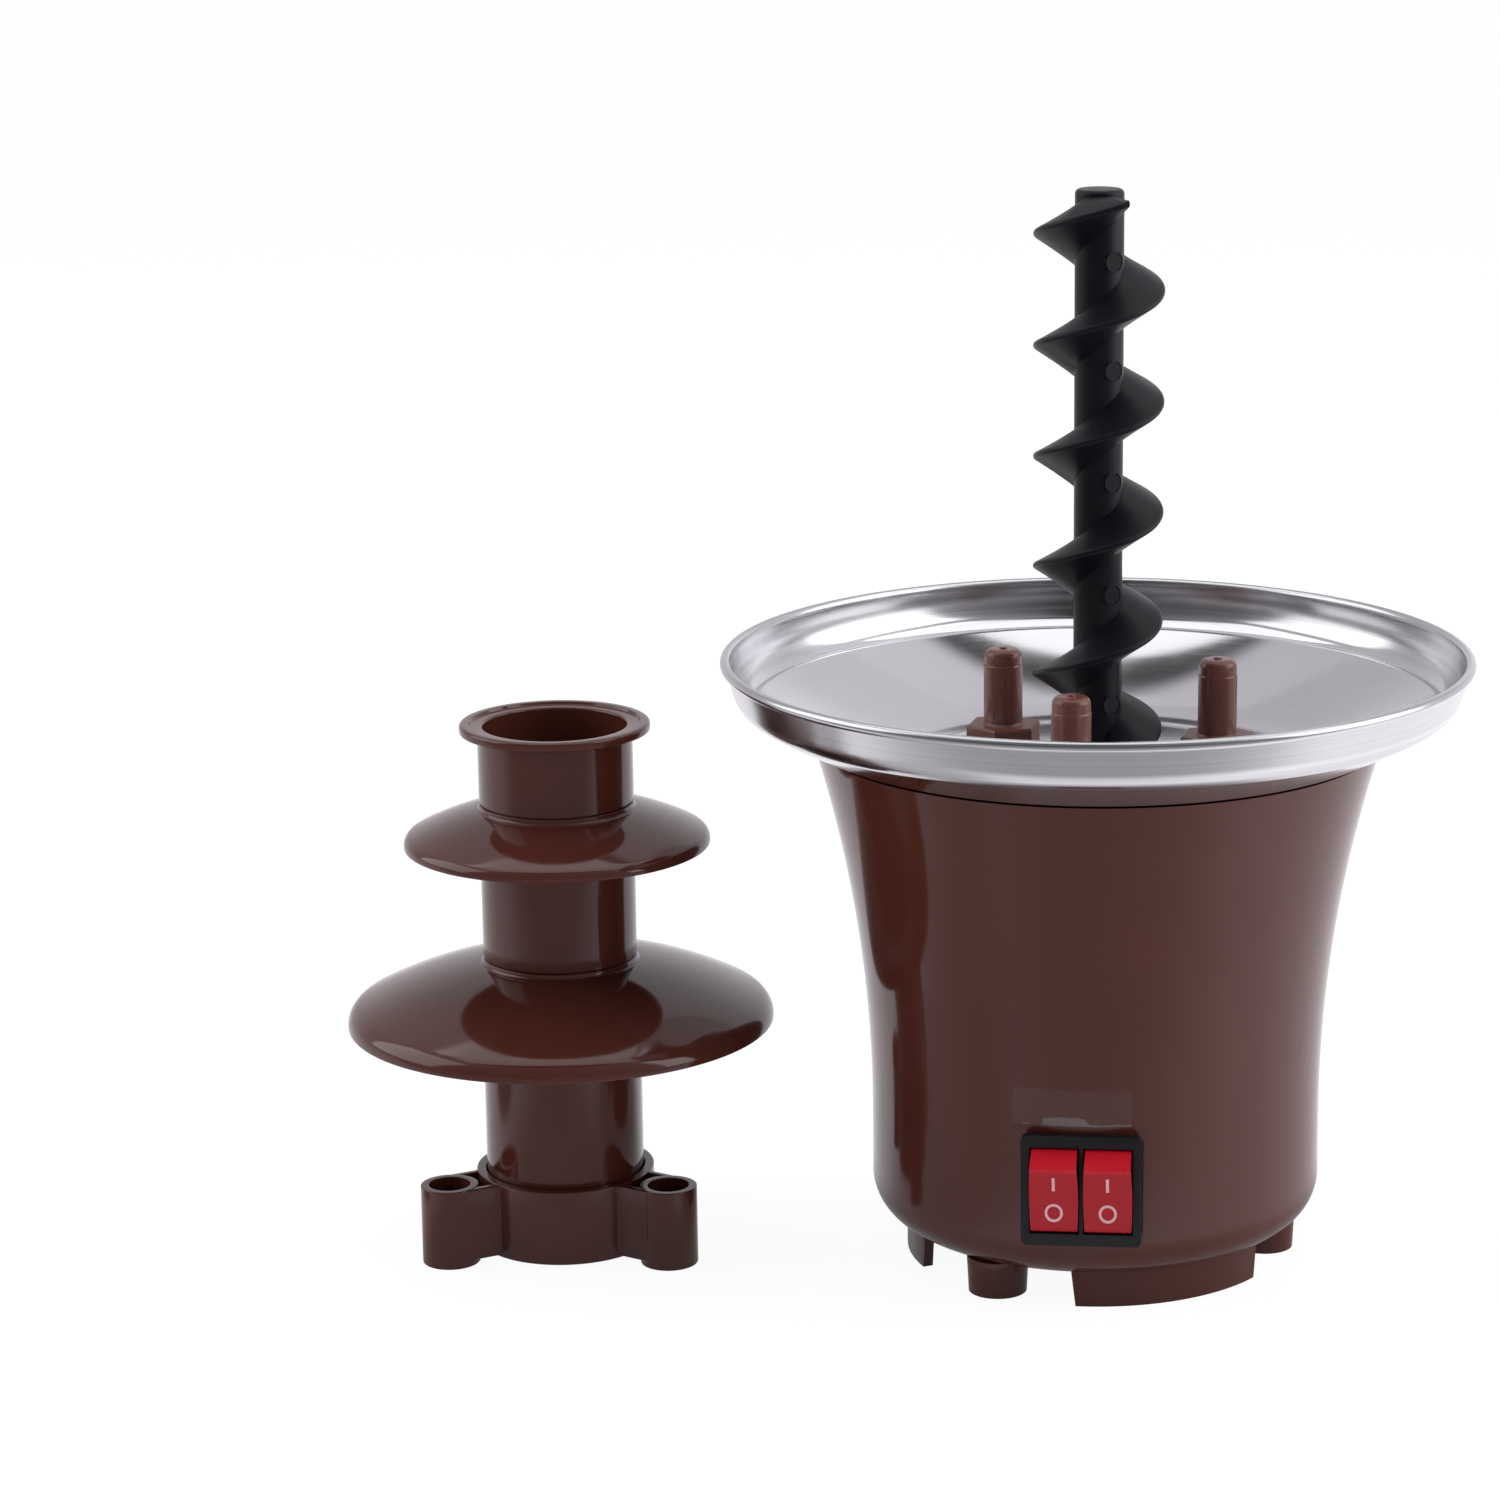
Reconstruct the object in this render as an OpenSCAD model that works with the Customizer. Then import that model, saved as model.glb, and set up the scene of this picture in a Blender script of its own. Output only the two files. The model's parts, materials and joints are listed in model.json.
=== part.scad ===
// Small tabletop chocolate fountain: a heated base with a steel bowl and an auger,
// and the tiered tower standing on the table beside it.
// Millimetres, +Z up, the switches face -Y. The origin is on the table, midway across the set.

/* [Layout] */
// How far left of the base axis the tower stands
tower_out = 115.2; // [112:0.1:150]
// How far in front of the base axis the tower stands
tower_fore = 8.9; // [0:0.1:30]

/* [Body] */
// Radius of the straight lower side of the body
body_r = 48.4; // [46:0.1:52]
// Radius of the arc that flares the side outwards
flare_r = 280; // [240:1:320]
// Height at which the flare starts
flare_z = 32; // [26:0.5:40]
// Wall of the moulded body
body_wall = 2.2; // [1.6:0.1:3]
// Rounding of the body's lower edge
body_round = 10; // [8:0.5:12]
// Height of the lowest point of that rounding
body_low_z = 7.4; // [6:0.1:10]
// Radius of the opening in the body's underside
body_open_r = 42.5; // [41:0.1:44]

/* [Base cover] */
// Gap around the base cover
cover_gap = 0.3; // [0.1:0.05:0.6]
// Thickness of the base cover
cover_wall = 2.2; // [1.6:0.1:3]
// Outer radius of the curved feet
skirt_r = 41; // [38:0.1:42]
// Thickness of the curved feet
skirt_wall = 2.2; // [1.6:0.1:3]
// Angle that one curved foot covers
skirt_span = 64.5; // [40:0.5:66]
// Lean of the ends of a curved foot
skirt_draft = 7; // [0:0.5:10]
// Radius of the circle that the round feet stand on
foot_circle = 37; // [36:0.1:37.4]
// Radius of a round foot at its lower end
foot_r = 6.2; // [5.8:0.05:6.4]
// Radius of a round foot at its upper end
foot_top_r = 6.6; // [6.4:0.05:6.8]
// Depth of the screw recess in a round foot
foot_recess = 5; // [3.5:0.1:6]
// Width of one vent slot
vent_w = 3; // [2:0.1:4]
// Length of one vent slot
vent_len = 14; // [8:0.5:18]
// Number of vent slots
vent_count = 9; // [6:1:12]

/* [Bowl] */
// Radius over the rolled rim
rim_r = 80; // [78:0.1:84]
// Radius of the rolled bead
bead_r = 1.1; // [0.9:0.05:1.5]
// Height of the bead's centre
rim_z = 130.6; // [128:0.1:134]
// Height of the bowl's floor
floor_z = 107.5; // [106:0.1:108.5]
// Radius of the flat floor
floor_r = 36; // [35.8:0.1:40]
// Inner radius at the foot of the upright wall
wall_foot_r = 76; // [75:0.1:77]
// Height of the inside corner at the foot of the upright wall
wall_foot_z = 122.6; // [121:0.1:124]
// Thickness of the steel sheet
sheet = 0.8; // [0.6:0.05:1.2]
// Bend where the floor turns up into the dish
floor_bend = 40; // [30:0.5:48]
// Slope of the dish above that bend
dish_angle = 22; // [16:0.5:24]
// Bend at the foot of the upright wall
wall_bend = 3.5; // [2:0.1:5]
// Gap between the bowl and the top edge of the body
seat_gap = 0.25; // [0.1:0.05:0.5]

/* [Tower pegs] */
// Radius of the circle that the pegs stand on
peg_circle = 27.2; // [26.8:0.1:30]
// Direction of the first peg, counted from +X
peg_angle = 21.9; // [15:0.1:30]
// Radius of a peg
peg_r = 4.2; // [3.8:0.05:4.4]
// Radius of a peg's slimmer tip
peg_tip_r = 4.05; // [3.6:0.05:4.1]
// Length of that tip
peg_tip = 3.6; // [2.5:0.1:5]
// Rounding of the peg's top
peg_round = 1.6; // [1:0.1:2]
// Height of a peg above its hexagon
peg_h = 16.6; // [14:0.1:18]
// Distance across the flats of the hexagon
hex_flats = 14.4; // [13:0.1:15.5]
// Height of the hexagon
hex_h = 4.5; // [3.5:0.1:6]
// Play of a peg in a tower socket, on the radius
peg_play = 0.35; // [0.2:0.05:0.6]
// Radius of the seal under a peg
peg_seal_r = 5; // [4.5:0.1:6]
// Thickness of that seal
peg_seal_h = 1.2; // [0.8:0.1:1.6]

/* [Auger] */
// Radius over the flight
flight_r = 13.75; // [12:0.05:14.5]
// Radius of the core
core_r = 5.15; // [4.8:0.05:6]
// Rise of the flight in one turn
pitch = 23.4; // [18:0.1:30]
// Length of the auger
auger_len = 120.4; // [90:0.1:125]
// Thickness of the flight at its edge
flight_edge = 1.6; // [1:0.1:2]
// Thickness of the flight at the core
flight_root = 10.4; // [6:0.1:12]
// How far the middle of the flight's root lies below its edge
flight_drop = 0.5; // [0:0.1:1]
// Direction in which the flight ends at the top, counted from +X
flight_end = 300; // [0:1:360]
// Distance of the flight's edge from the ends of the core
flight_margin = 1.75; // [1.5:0.05:3]
// Rounding of the core's top edge
core_round = 1; // [0.5:0.1:2]
// Distance across the flats of the driving hexagon
dog_flats = 5.4; // [4.5:0.1:6]
// Length of the driving hexagon
dog_len = 11; // [8:0.5:14]
// Clearance of the auger on the driving hexagon
dog_play = 0.05; // [0.02:0.01:0.1]

/* [Drive] */
// Radius of the output shaft
shaft_r = 3; // [2.5:0.05:3.5]
// Running clearance of shafts in their bushes, on the radius
run_play = 0.04; // [0.02:0.01:0.08]
// Clearance of pieces that are pushed together and stay so, on the radius
push_play = 0.02; // [0.01:0.01:0.05]
// Radius of the collar that the auger stands on
collar_r = 5; // [4.5:0.1:5.1]
// Thickness of that collar
collar_h = 0.8; // [0.6:0.1:1.2]
// Height of the underside of the motor bracket
bracket_z = 82; // [80:0.5:84]
// Thickness of the motor bracket
bracket_wall = 2.5; // [2:0.1:3]
// Radius of the motor bracket
bracket_r = 45.4; // [45.4:0.1:45.8]
// Outer radius of the shaft's bushes
bush_r = 5; // [4.5:0.1:5.5]
// Height of the upper bush
bush_h = 10; // [6:0.5:12]
// Height inside the gearbox
gearbox_room = 15.5; // [15:0.5:16.5]
// Wall and floor of the gearbox
gearbox_wall = 2.5; // [2:0.1:3]
// Play around the gears inside the gearbox
gearbox_play = 1; // [0.8:0.1:1.4]
// Teeth of the two large gears
gear_teeth = 48; // [44:1:50]
// Teeth of the two small gears
pinion_teeth = 12; // [12:1:13]
// Tooth module of the slow stage
slow_module = 0.8; // [0.75:0.01:0.82]
// Tooth module of the fast stage
fast_module = 0.6; // [0.55:0.01:0.64]
// Play between meshing teeth
backlash = 0.12; // [0.08:0.01:0.2]
// Face width of the gears
gear_w = 5; // [4:0.1:5.5]
// Radius of the motor's can
motor_r = 16; // [14:0.1:17]
// Length of the motor's can
motor_len = 36; // [30:0.5:37]
// Radius of the motor's shaft
motor_shaft_r = 1.15; // [1:0.05:1.5]
// Radius of the idler's axle
axle_r = 1.5; // [1.2:0.05:2]

/* [Heater] */
// Outer radius of the heater plate
heater_r = 42; // [40:0.1:42.5]
// Radius of the hole in the heater plate
heater_hole = 12; // [10:0.1:13]
// Thickness of the heater plate
heater_h = 3; // [2.5:0.1:4]
// Radius of the heating tube's ring
element_ring = 36; // [35.5:0.1:37.5]
// Radius of the heating tube
element_r = 3.2; // [2.8:0.05:3.4]
// Angle that the heating tube covers
element_span = 290; // [240:5:310]
// How deep the heating tube lies in the plate
element_sunk = 1.2; // [0.8:0.1:1.6]

/* [Switch] */
// Width of the switch bezel
bezel_w = 25; // [24.6:0.1:28]
// Height of the switch bezel
bezel_h = 23.9; // [23:0.1:27]
// Thickness of the switch bezel
bezel_t = 1.8; // [1.4:0.1:2.4]
// Height of the middle of the switch
switch_z = 28.85; // [28:0.05:34]
// Width of one rocker
rocker_w = 10; // [9:0.1:10.1]
// Distance between the middles of the rockers
rocker_pitch = 11.2; // [11:0.1:11.4]
// Half the height of a rocker's face
rocker_half = 7.65; // [7:0.05:7.8]
// Distance of a rocker's face from its pivot
rocker_face = 5.2; // [5:0.05:5.5]
// Depth of the hollow in a rocker's face
rocker_dish = 0.7; // [0.4:0.05:1]
// How far the pivot lies behind the front of the bezel
pivot_depth = 2.8; // [2.6:0.05:3.2]
// Turn of a rocker to either side of its middle
rocker_tilt = 15; // [12:0.5:15]
// Clearance around the rockers
rocker_play = 0.15; // [0.1:0.01:0.25]
// Radius of a rocker's pivot studs
stud_r = 1.1; // [0.9:0.05:1.3]

/* [Cord gland] */
// Height of the cord gland at the back
gland_z = 22; // [20:0.5:26]
// Radius of the cord's hole
gland_bore = 2.9; // [2.5:0.1:3.2]
// Radius of the gland's neck
gland_neck = 4.5; // [4.2:0.1:5]
// Radius of the gland's flange
gland_flange = 6.5; // [6:0.1:7]

/* [Tower] */
// Inner radius of the tower's tubes
tube_bore = 15.3; // [15:0.05:15.5]
// Outer radius of the upper tubes
tube_r = 16.5; // [16.3:0.05:17]
// Outer radius of the lowest tube
low_tube_r = 17; // [16.8:0.05:17.4]
// Clearance of one tube in the next piece, on the radius
tube_play = 0.06; // [0.03:0.01:0.1]
// Height of the top of the tower
tower_h = 116.8; // [112:0.1:125]
// Radius of the top flange
flange_r = 20.3; // [19:0.1:22]
// Thickness of the top flange
flange_h = 2; // [1.5:0.1:3]
// Radius of the shallow step in the top flange
step_r = 18; // [17.5:0.1:18.5]
// Depth of that step
step_h = 0.6; // [0.3:0.1:1]
// Wall of the tiers
tier_wall = 1.8; // [1.4:0.1:2.2]
// Straight lip under a tier's edge
tier_lip = 0.6; // [0.4:0.1:2]
// Depth of a tube in the tier below it
tube_seat = 6; // [5:0.1:7]
// Height of a tier's neck above its crown
neck_h = 2.3; // [2:0.1:3]
// Fillet at the foot of that neck
neck_fillet = 1.2; // [0.8:0.1:1.8]
// Gap between a neck and the tube above it
joint_gap = 0.3; // [0.1:0.05:0.5]
// Radius of the thickened hub under a tier
hub_r = 18.6; // [18.4:0.1:21]
// Depth of that hub
hub_h = 8; // [7:0.1:10]
// Radius of the large tier
large_r = 45.8; // [42:0.1:48]
// Height of the large tier's edge
large_z = 51.2; // [48:0.1:55]
// Rounding of the large tier's shoulder
large_shoulder = 4.3; // [3:0.1:8]
// Radius of the large tier's crown
large_crown = 108; // [90:1:130]
// Radius of the small tier
small_r = 32.7; // [30:0.1:36]
// Height of the small tier's edge
small_z = 90.6; // [87:0.1:93]
// Rounding of the small tier's shoulder
small_shoulder = 2.3; // [2:0.1:5]
// Radius of the small tier's crown
small_crown = 89; // [70:1:110]

/* [Tower foot] */
// Outer radius of the foot's ring
ring_r = 19; // [18.8:0.1:20]
// Height of the foot's ring
ring_h = 17.5; // [15:0.1:20]
// Gap between the ring's mouth and the tube
ring_gap = 0.7; // [0.4:0.05:0.9]
// Depth of that gap
ring_gap_h = 7; // [4:0.1:9]
// Height of the ledge that the lowest tube stands on
ledge_z = 4; // [3:0.1:6]
// How far the ring stays clear of the table
ring_lift = 1; // [0.5:0.1:2]
// Wall of the sockets
socket_wall = 1.65; // [1.4:0.05:2]
// Direction of the first socket, counted from +X
socket_angle = 93.7; // [80:0.1:100]
// Width over the pair of ribs between the ring and a socket
web_w = 12; // [10:0.1:12.2]
// Thickness of one rib
web_wall = 1.6; // [1.2:0.1:2]
// How far the ribs stay below the sockets' tops
web_drop = 0.7; // [0.4:0.1:1.5]
// Height of the ribs' lower edge
web_z = 1.5; // [1:0.1:4]

/* [Hidden] */
$fn = 96;

// Overrun of cutting shapes past the faces that they cut
over = 1;
// Depth that one shape is sunk into the next where they fuse
sink = 0.4;

// Places of the base and the tower: the set is centred across its full width
base_x = (tower_out + large_r - rim_r) / 2;
tower_x = base_x - tower_out;
tower_y = -tower_fore;

// Screws: radius and height of the head, radius of the shank
tapping = [3.1, 2.4, 1.5];
machine = [3.5, 2.6, 2];
small_screw = [1.9, 1.2, 1];
// Room around a screw's shank and around its head
shank_play = 0.2;
pilot_play = 0.05;
head_play = 0.5;

// Base cover: its level follows the body's rounding at the opening
round_r = body_r - body_round;
round_z = body_low_z + body_round;
cover_z = round_z - sqrt(pow(body_round, 2) - pow(body_open_r - round_r, 2));
cover_top = cover_z + cover_wall;
cover_r = body_open_r - cover_gap;
foot_neck_r = cover_r - foot_circle - cover_gap;
foot_angle = -120.5;
skirt_angle = -61.5;
post_r = 4.2;
post_h = 13.5;
post_hole = 12;
rib_w = 2.4;
cover_screw_len = 15;
vent_circle = 22;

// Bowl: the middle line of the sheet's upper face, from the shaft hole to the rim
bead_x = rim_r - bead_r;
rim_wall_r = bead_x - 0.8 * bead_r;
shaft_hole = 7;
floor_under = floor_z - sheet;
floor_centre = [floor_r, floor_z + floor_bend];
dish_foot = floor_centre + floor_bend * [sin(dish_angle), -cos(dish_angle)];
dish_chord = [wall_foot_r, wall_foot_z] - dish_foot;
dish_turn = 2 * (atan2(dish_chord[1], dish_chord[0]) - dish_angle);
dish_r = norm(dish_chord) / 2 / sin(dish_turn / 2);
dish_centre = dish_foot + dish_r * [-sin(dish_angle), cos(dish_angle)];
dish_end = dish_angle + dish_turn;
dish_stop = dish_end - wall_bend / dish_r * 180 / PI;
corner_r = wall_foot_r - (wall_foot_z - floor_z) / tan(dish_end);
bowl_line = [[shaft_hole, floor_z], [corner_r, floor_z], [wall_foot_r, wall_foot_z], [rim_wall_r, rim_z]];
bowl_under = parallel(bowl_line, -sheet);

// Seat of the bowl on the body: the tangent of the dish's underside where the body ends
seat_r = body_r + flare_r - sqrt(pow(flare_r, 2) - pow(floor_z - flare_z, 2));
seat_slope = asin((seat_r - dish_centre[0]) / (dish_r + sheet));
seat_z = dish_centre[1] - (dish_r + sheet) * cos(seat_slope);
function seat_level(r) = seat_z + (r - seat_r) * tan(seat_slope) - seat_gap;

// Pegs
hex_z = floor_z + hex_h;
nub_r = 0.9;
nub_h = 0.35;
peg_thread = 12;

// Drive: levels from the bracket down, then from the bracket up
plate_top = bracket_z + bracket_wall;
case_floor_top = bracket_z - gearbox_room;
case_low = case_floor_top - gearbox_wall;
gear_gap = 1;
fast_z = case_floor_top + gear_gap;
slow_z = fast_z + gear_w + 1.5 * gear_gap;
slow_top = slow_z + gear_w + gear_gap;
slow_distance = slow_module * (gear_teeth + pinion_teeth) / 2;
fast_distance = fast_module * (gear_teeth + pinion_teeth) / 2;
idler_angle = peg_angle + 60;
pinion_angle = idler_angle + 153.4;
idler_at = slow_distance * [cos(idler_angle), sin(idler_angle)];
pinion_at = idler_at + fast_distance * [cos(pinion_angle), sin(pinion_angle)];
slow_tip = slow_module * (gear_teeth / 2 + 1);
fast_tip = fast_module * (gear_teeth / 2 + 1);
pinion_tip = fast_module * (pinion_teeth / 2 + 1);
pressure = 25;
hub_gear_r = 6.5;
lug_circle = 41;
lug_r = 4.3;
lug_h = 14;
bracket_screw_len = 10;
case_ear_r = 4;
case_ear_out = gearbox_play + gearbox_wall + case_ear_r / 2;
case_ears = [
    (slow_tip + case_ear_out) * [cos(peg_angle + 180), sin(peg_angle + 180)],
    (slow_tip + case_ear_out) * [cos(peg_angle + 300), sin(peg_angle + 300)],
    idler_at + (fast_tip + case_ear_out) * [cos(idler_angle - 70), sin(idler_angle - 70)]
];
case_screw_len = 8;
motor_ear = 10;
motor_ear_angle = atan2(pinion_at[1], pinion_at[0]) + 90;
shaft_lift = 0.3;
motor_screw_len = 7;
seal_play = 0.3;
seal_r = 9.5;
seal_h = 1.1;
collar_z = floor_z + seal_h + seal_play;
auger_z = collar_z + collar_h;
auger_top = auger_z + auger_len;

// Heater
heater_z = floor_under - heater_h;
element_z = heater_z - element_r + element_sunk;
sensor_circle = 22;

// Switch, in the plane of the bezel
bezel_gap = 0.2;
bezel_back = body_r + bezel_gap;
bezel_front = bezel_back + bezel_t;
pivot_y = bezel_front - pivot_depth;
rocker_sweep = sqrt(pow(rocker_face, 2) + pow(rocker_half, 2));
pocket_half = rocker_sweep + rocker_play;
pocket_w = rocker_w + 2 * rocker_play;
housing_wall = 0.9;
housing_w = rocker_pitch + pocket_w + 2 * housing_wall;
housing_h = 2 * pocket_half + 1.6;
housing_back = pivot_y - pocket_half - 4;
housing_play = 0.25;
bezel_round = 1.2;
rocker_back = 3;
stud_len = 0.4;
blade = [4.8, 9, 0.8];
blade_rows = 6;

// Tower
function crown_centre(r, z, shoulder, crown) =
    z - sqrt(pow(crown - shoulder, 2) - pow(r - shoulder, 2));
function crown_z(r, z, shoulder, crown, at) =
    crown_centre(r, z, shoulder, crown) + sqrt(crown * crown - at * at);
large_top = crown_z(large_r, large_z, large_shoulder, large_crown, tube_r);
small_top = crown_z(small_r, small_z, small_shoulder, small_crown, tube_r);
large_neck = large_top + neck_h;
small_neck = small_top + neck_h;
large_ledge = large_neck - tube_seat;
small_ledge = small_neck - tube_seat;
lap_r = (tube_bore + tube_r) / 2;
socket_r = peg_r + peg_play;

// Geometry of outlines

// Unit vector to the left of the line from a to b
function left_of(a, b) = [a[1] - b[1], b[0] - a[0]] / norm(b - a);

// Corner of a path moved d to the left of both of its sides
function moved(p, n, m, d) = p + d * (n + m) / (1 + n * m);

// A path's parallel, d to its left
function parallel(path, d) = [
    for (i = [0:len(path) - 1])
        let (
            n = left_of(path[max(i, 1) - 1], path[max(i, 1)]),
            m = left_of(path[min(i, len(path) - 2)], path[min(i, len(path) - 2) + 1])
        )
        moved(path[i], n, m, d)
];

// Points of an arc about c from angle a to angle b
function arc(c, r, a, b, steps) = [
    for (i = [0:steps])
        let (t = a + (b - a) * i / steps)
        c + r * [cos(t), sin(t)]
];

// Arc of radius r that rounds the corner p between the points before and after it
function bend(before, p, after, r, steps) =
    let (
        u = (before - p) / norm(before - p),
        v = (after - p) / norm(after - p),
        half = acos(u * v) / 2,
        c = p + (u + v) / norm(u + v) * r / sin(half),
        s = p + u * r / tan(half) - c,
        e = p + v * r / tan(half) - c,
        turn = atan2(s[0] * e[1] - s[1] * e[0], s * e)
    )
    arc(c, r, atan2(s[1], s[0]), atan2(s[1], s[0]) + turn, steps);

function reversed(list) = [for (i = [len(list) - 1:-1:0]) list[i]];

function tail(list) = [for (i = [1:len(list) - 1]) list[i]];

// Point of an involute of the base circle r after unrolling by angle t
function involute(r, t) = r * [cos(t) + t * PI / 180 * sin(t), sin(t) - t * PI / 180 * cos(t)];

function turned(p, a) = [p[0] * cos(a) - p[1] * sin(a), p[0] * sin(a) + p[1] * cos(a)];

// Shared shapes

module at_base() translate([base_x, 0, 0]) children();

module at_tower() translate([tower_x, tower_y, 0]) children();

module around(count, radius, first) {
    for (i = [0:count - 1])
        rotate([0, 0, first + i * 360 / count])
            translate([radius, 0, 0])
                children();
}

module ring(outer, inner, height) {
    difference() {
        cylinder(h = height, r = outer);
        translate([0, 0, -over])
            cylinder(h = height + 2 * over, r = inner);
    }
}

// A post with a rounded top edge
module rounded_post(r, height, rounding) {
    rotate_extrude() {
        square([r, height - rounding]);
        square([r - rounding, height]);
        translate([r - rounding, height - rounding])
            intersection() {
                circle(rounding);
                square(rounding);
            }
    }
}

module hexagon(flats, height) {
    cylinder(h = height, r = flats / sqrt(3), $fn = 6);
}

// A screw whose head sits below z = 0 and whose shank points up
module screw(kind, length) {
    translate([0, 0, -kind[1]])
        cylinder(h = kind[1], r = kind[0]);
    translate([0, 0, -sink])
        cylinder(h = length + sink, r = kind[2]);
}

module rounded_plate(w, h, rounding) {
    square([w - 2 * rounding, h], center = true);
    square([w, h - 2 * rounding], center = true);
    for (x = [-1, 1], y = [-1, 1])
        translate([x * (w / 2 - rounding), y * (h / 2 - rounding)])
            circle(rounding);
}

// Turns a drawing of forward against up so that forward is -Y and up is +Z, spread along X
module side_view(width) {
    rotate([0, 0, -90])
        rotate([90, 0, 0])
            linear_extrude(width, center = true)
                children();
}

// An involute spur gear, the middle of its first tooth along +X
module spur_gear(teeth, tooth_module, width) {
    pitch_r = teeth * tooth_module / 2;
    base_r = pitch_r * cos(pressure);
    tip_r = pitch_r + tooth_module;
    root_r = pitch_r - 1.25 * tooth_module;
    start_r = max(base_r, root_r);
    unroll = [for (r = [start_r, pitch_r, tip_r]) sqrt(pow(r / base_r, 2) - 1) * 180 / PI];
    lean = unroll[1] - atan(unroll[1] * PI / 180);
    half = 90 / teeth - backlash / 4 / pitch_r * 180 / PI + lean;
    steps = 5;
    flank = [
        for (i = [0:steps])
            turned(involute(base_r, unroll[0] + (unroll[2] - unroll[0]) * i / steps), -half)
    ];
    foot = root_r * [cos(half), -sin(half)];
    right = start_r > root_r + 0.01 ? concat([foot], flank) : flank;
    left = reversed([for (p = right) [p[0], -p[1]]]);
    outline = [
        for (i = [0:teeth - 1])
            each [for (p = concat(right, left)) turned(p, i * 360 / teeth)]
    ];
    linear_extrude(width)
        polygon(outline);
}

// Half outline of the bell shaped body, drawn in by inset
module body_profile(inset) {
    side_r = flare_r + inset;
    polygon(concat(
        [[0, body_low_z + inset]],
        arc([round_r, round_z], body_round - inset, -90, 0, 8),
        arc([body_r + flare_r, flare_z], side_r, 180, 180 - asin((rim_z - flare_z) / side_r), 16),
        [[0, rim_z]]
    ));
}

// Everything above the bowl's underside, less the seat gap
module above_seat() {
    polygon([
        [0, seat_level(0)],
        [2 * rim_r, seat_level(2 * rim_r)],
        [2 * rim_r, 3 * rim_z],
        [0, 3 * rim_z]
    ]);
}

module body_wall_shape() {
    rotate_extrude()
        difference() {
            body_profile(0);
            body_profile(body_wall);
            above_seat();
            translate([0, -over])
                square([body_open_r, round_z + over]);
        }
}

// Screw posts for the base cover and lugs for the motor bracket, with ribs to the wall
module body_posts() {
    around(3, foot_circle, foot_angle)
        translate([0, 0, cover_top]) {
            cylinder(h = post_h, r = post_r);
            translate([0, -rib_w / 2, 0])
                cube([body_r, rib_w, post_h]);
        }
    around(3, lug_circle, peg_angle)
        translate([0, 0, bracket_z - lug_h]) {
            cylinder(h = lug_h, r = lug_r);
            translate([0, -rib_w / 2, 0])
                cube([body_r, rib_w, lug_h]);
        }
}

module body_shell() {
    color("saddlebrown")
        at_base()
            difference() {
                union() {
                    body_wall_shape();
                    intersection() {
                        body_posts();
                        rotate_extrude()
                            difference() {
                                body_profile(body_wall / 2);
                                translate([0, -over])
                                    square([round_r - post_r - foot_top_r, 2 * rim_z]);
                            }
                    }
                }
                around(3, foot_circle, foot_angle)
                    translate([0, 0, cover_top - over])
                        cylinder(h = post_hole + over, r = tapping[2] + pilot_play);
                around(3, lug_circle, peg_angle)
                    translate([0, 0, bracket_z - bracket_screw_len - over])
                        cylinder(h = bracket_screw_len + 2 * over, r = tapping[2] + pilot_play);
                translate([0, -body_r, switch_z])
                    cube(
                        [housing_w + 2 * housing_play, body_round, housing_h + 2 * housing_play],
                        center = true
                    );
                translate([0, body_r, gland_z])
                    rotate([90, 0, 0])
                        cylinder(h = 4 * body_wall, r = gland_neck + pilot_play, center = true);
            }
}

// Three curved feet whose ends lean inwards towards the table
module curved_feet() {
    difference() {
        around(3, 0, skirt_angle - skirt_span / 2)
            rotate_extrude(angle = skirt_span)
                translate([skirt_r - skirt_wall, 0])
                    square([skirt_wall, cover_z + sink]);
        around(3, 0, skirt_angle)
            for (side = [-1, 1])
                rotate([0, 0, side * skirt_span / 2])
                    translate([0, 0, cover_z])
                        rotate([-side * skirt_draft, 0, 0])
                            translate([0, side < 0 ? -2 * cover_z : 0, -2 * cover_z])
                                cube([body_r, 2 * cover_z, 4 * cover_z]);
    }
}

module base_cover() {
    color("saddlebrown")
        at_base()
            difference() {
                union() {
                    translate([0, 0, cover_z])
                        cylinder(h = cover_wall, r = cover_r);
                    curved_feet();
                    around(3, foot_circle, foot_angle) {
                        cylinder(h = cover_z - cover_gap, r1 = foot_r, r2 = foot_top_r);
                        cylinder(h = cover_z + sink, r = foot_neck_r);
                    }
                }
                around(3, foot_circle, foot_angle) {
                    translate([0, 0, -over])
                        cylinder(h = foot_recess + over, r = tapping[0] + head_play);
                    cylinder(h = cover_top + over, r = tapping[2] + shank_play);
                }
                around(vent_count, vent_circle, 360 / vent_count / 2)
                    translate([0, 0, cover_z + cover_wall / 2])
                        cube([vent_len, vent_w, cover_wall + 2 * over], center = true);
            }
}

module cover_screws() {
    color("silver")
        at_base()
            around(3, foot_circle, foot_angle)
                translate([0, 0, foot_recess])
                    screw(tapping, cover_screw_len);
}

// One face of the bowl's sheet: flat floor, curved dish and upright wall
function bowl_face(line, inset) = concat(
    [line[0]],
    arc(floor_centre, floor_bend + inset, -90, dish_angle - 90, 8),
    tail(arc(dish_centre, dish_r + inset, dish_angle - 90, dish_stop - 90, 8)),
    bend(line[1], line[2], line[3], wall_bend + inset, 6),
    [line[3]]
);

module bowl() {
    upper = bowl_face(bowl_line, 0);
    lower = bowl_face(bowl_under, sheet);
    color("lightgray")
        at_base()
            difference() {
                union() {
                    rotate_extrude()
                        polygon(concat(upper, reversed(lower)));
                    rotate_extrude()
                        translate([bead_x, rim_z])
                            circle(bead_r);
                }
                around(3, peg_circle, peg_angle)
                    translate([0, 0, floor_under - over])
                        cylinder(h = sheet + 2 * over, r = machine[2] + shank_play);
            }
}

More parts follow.
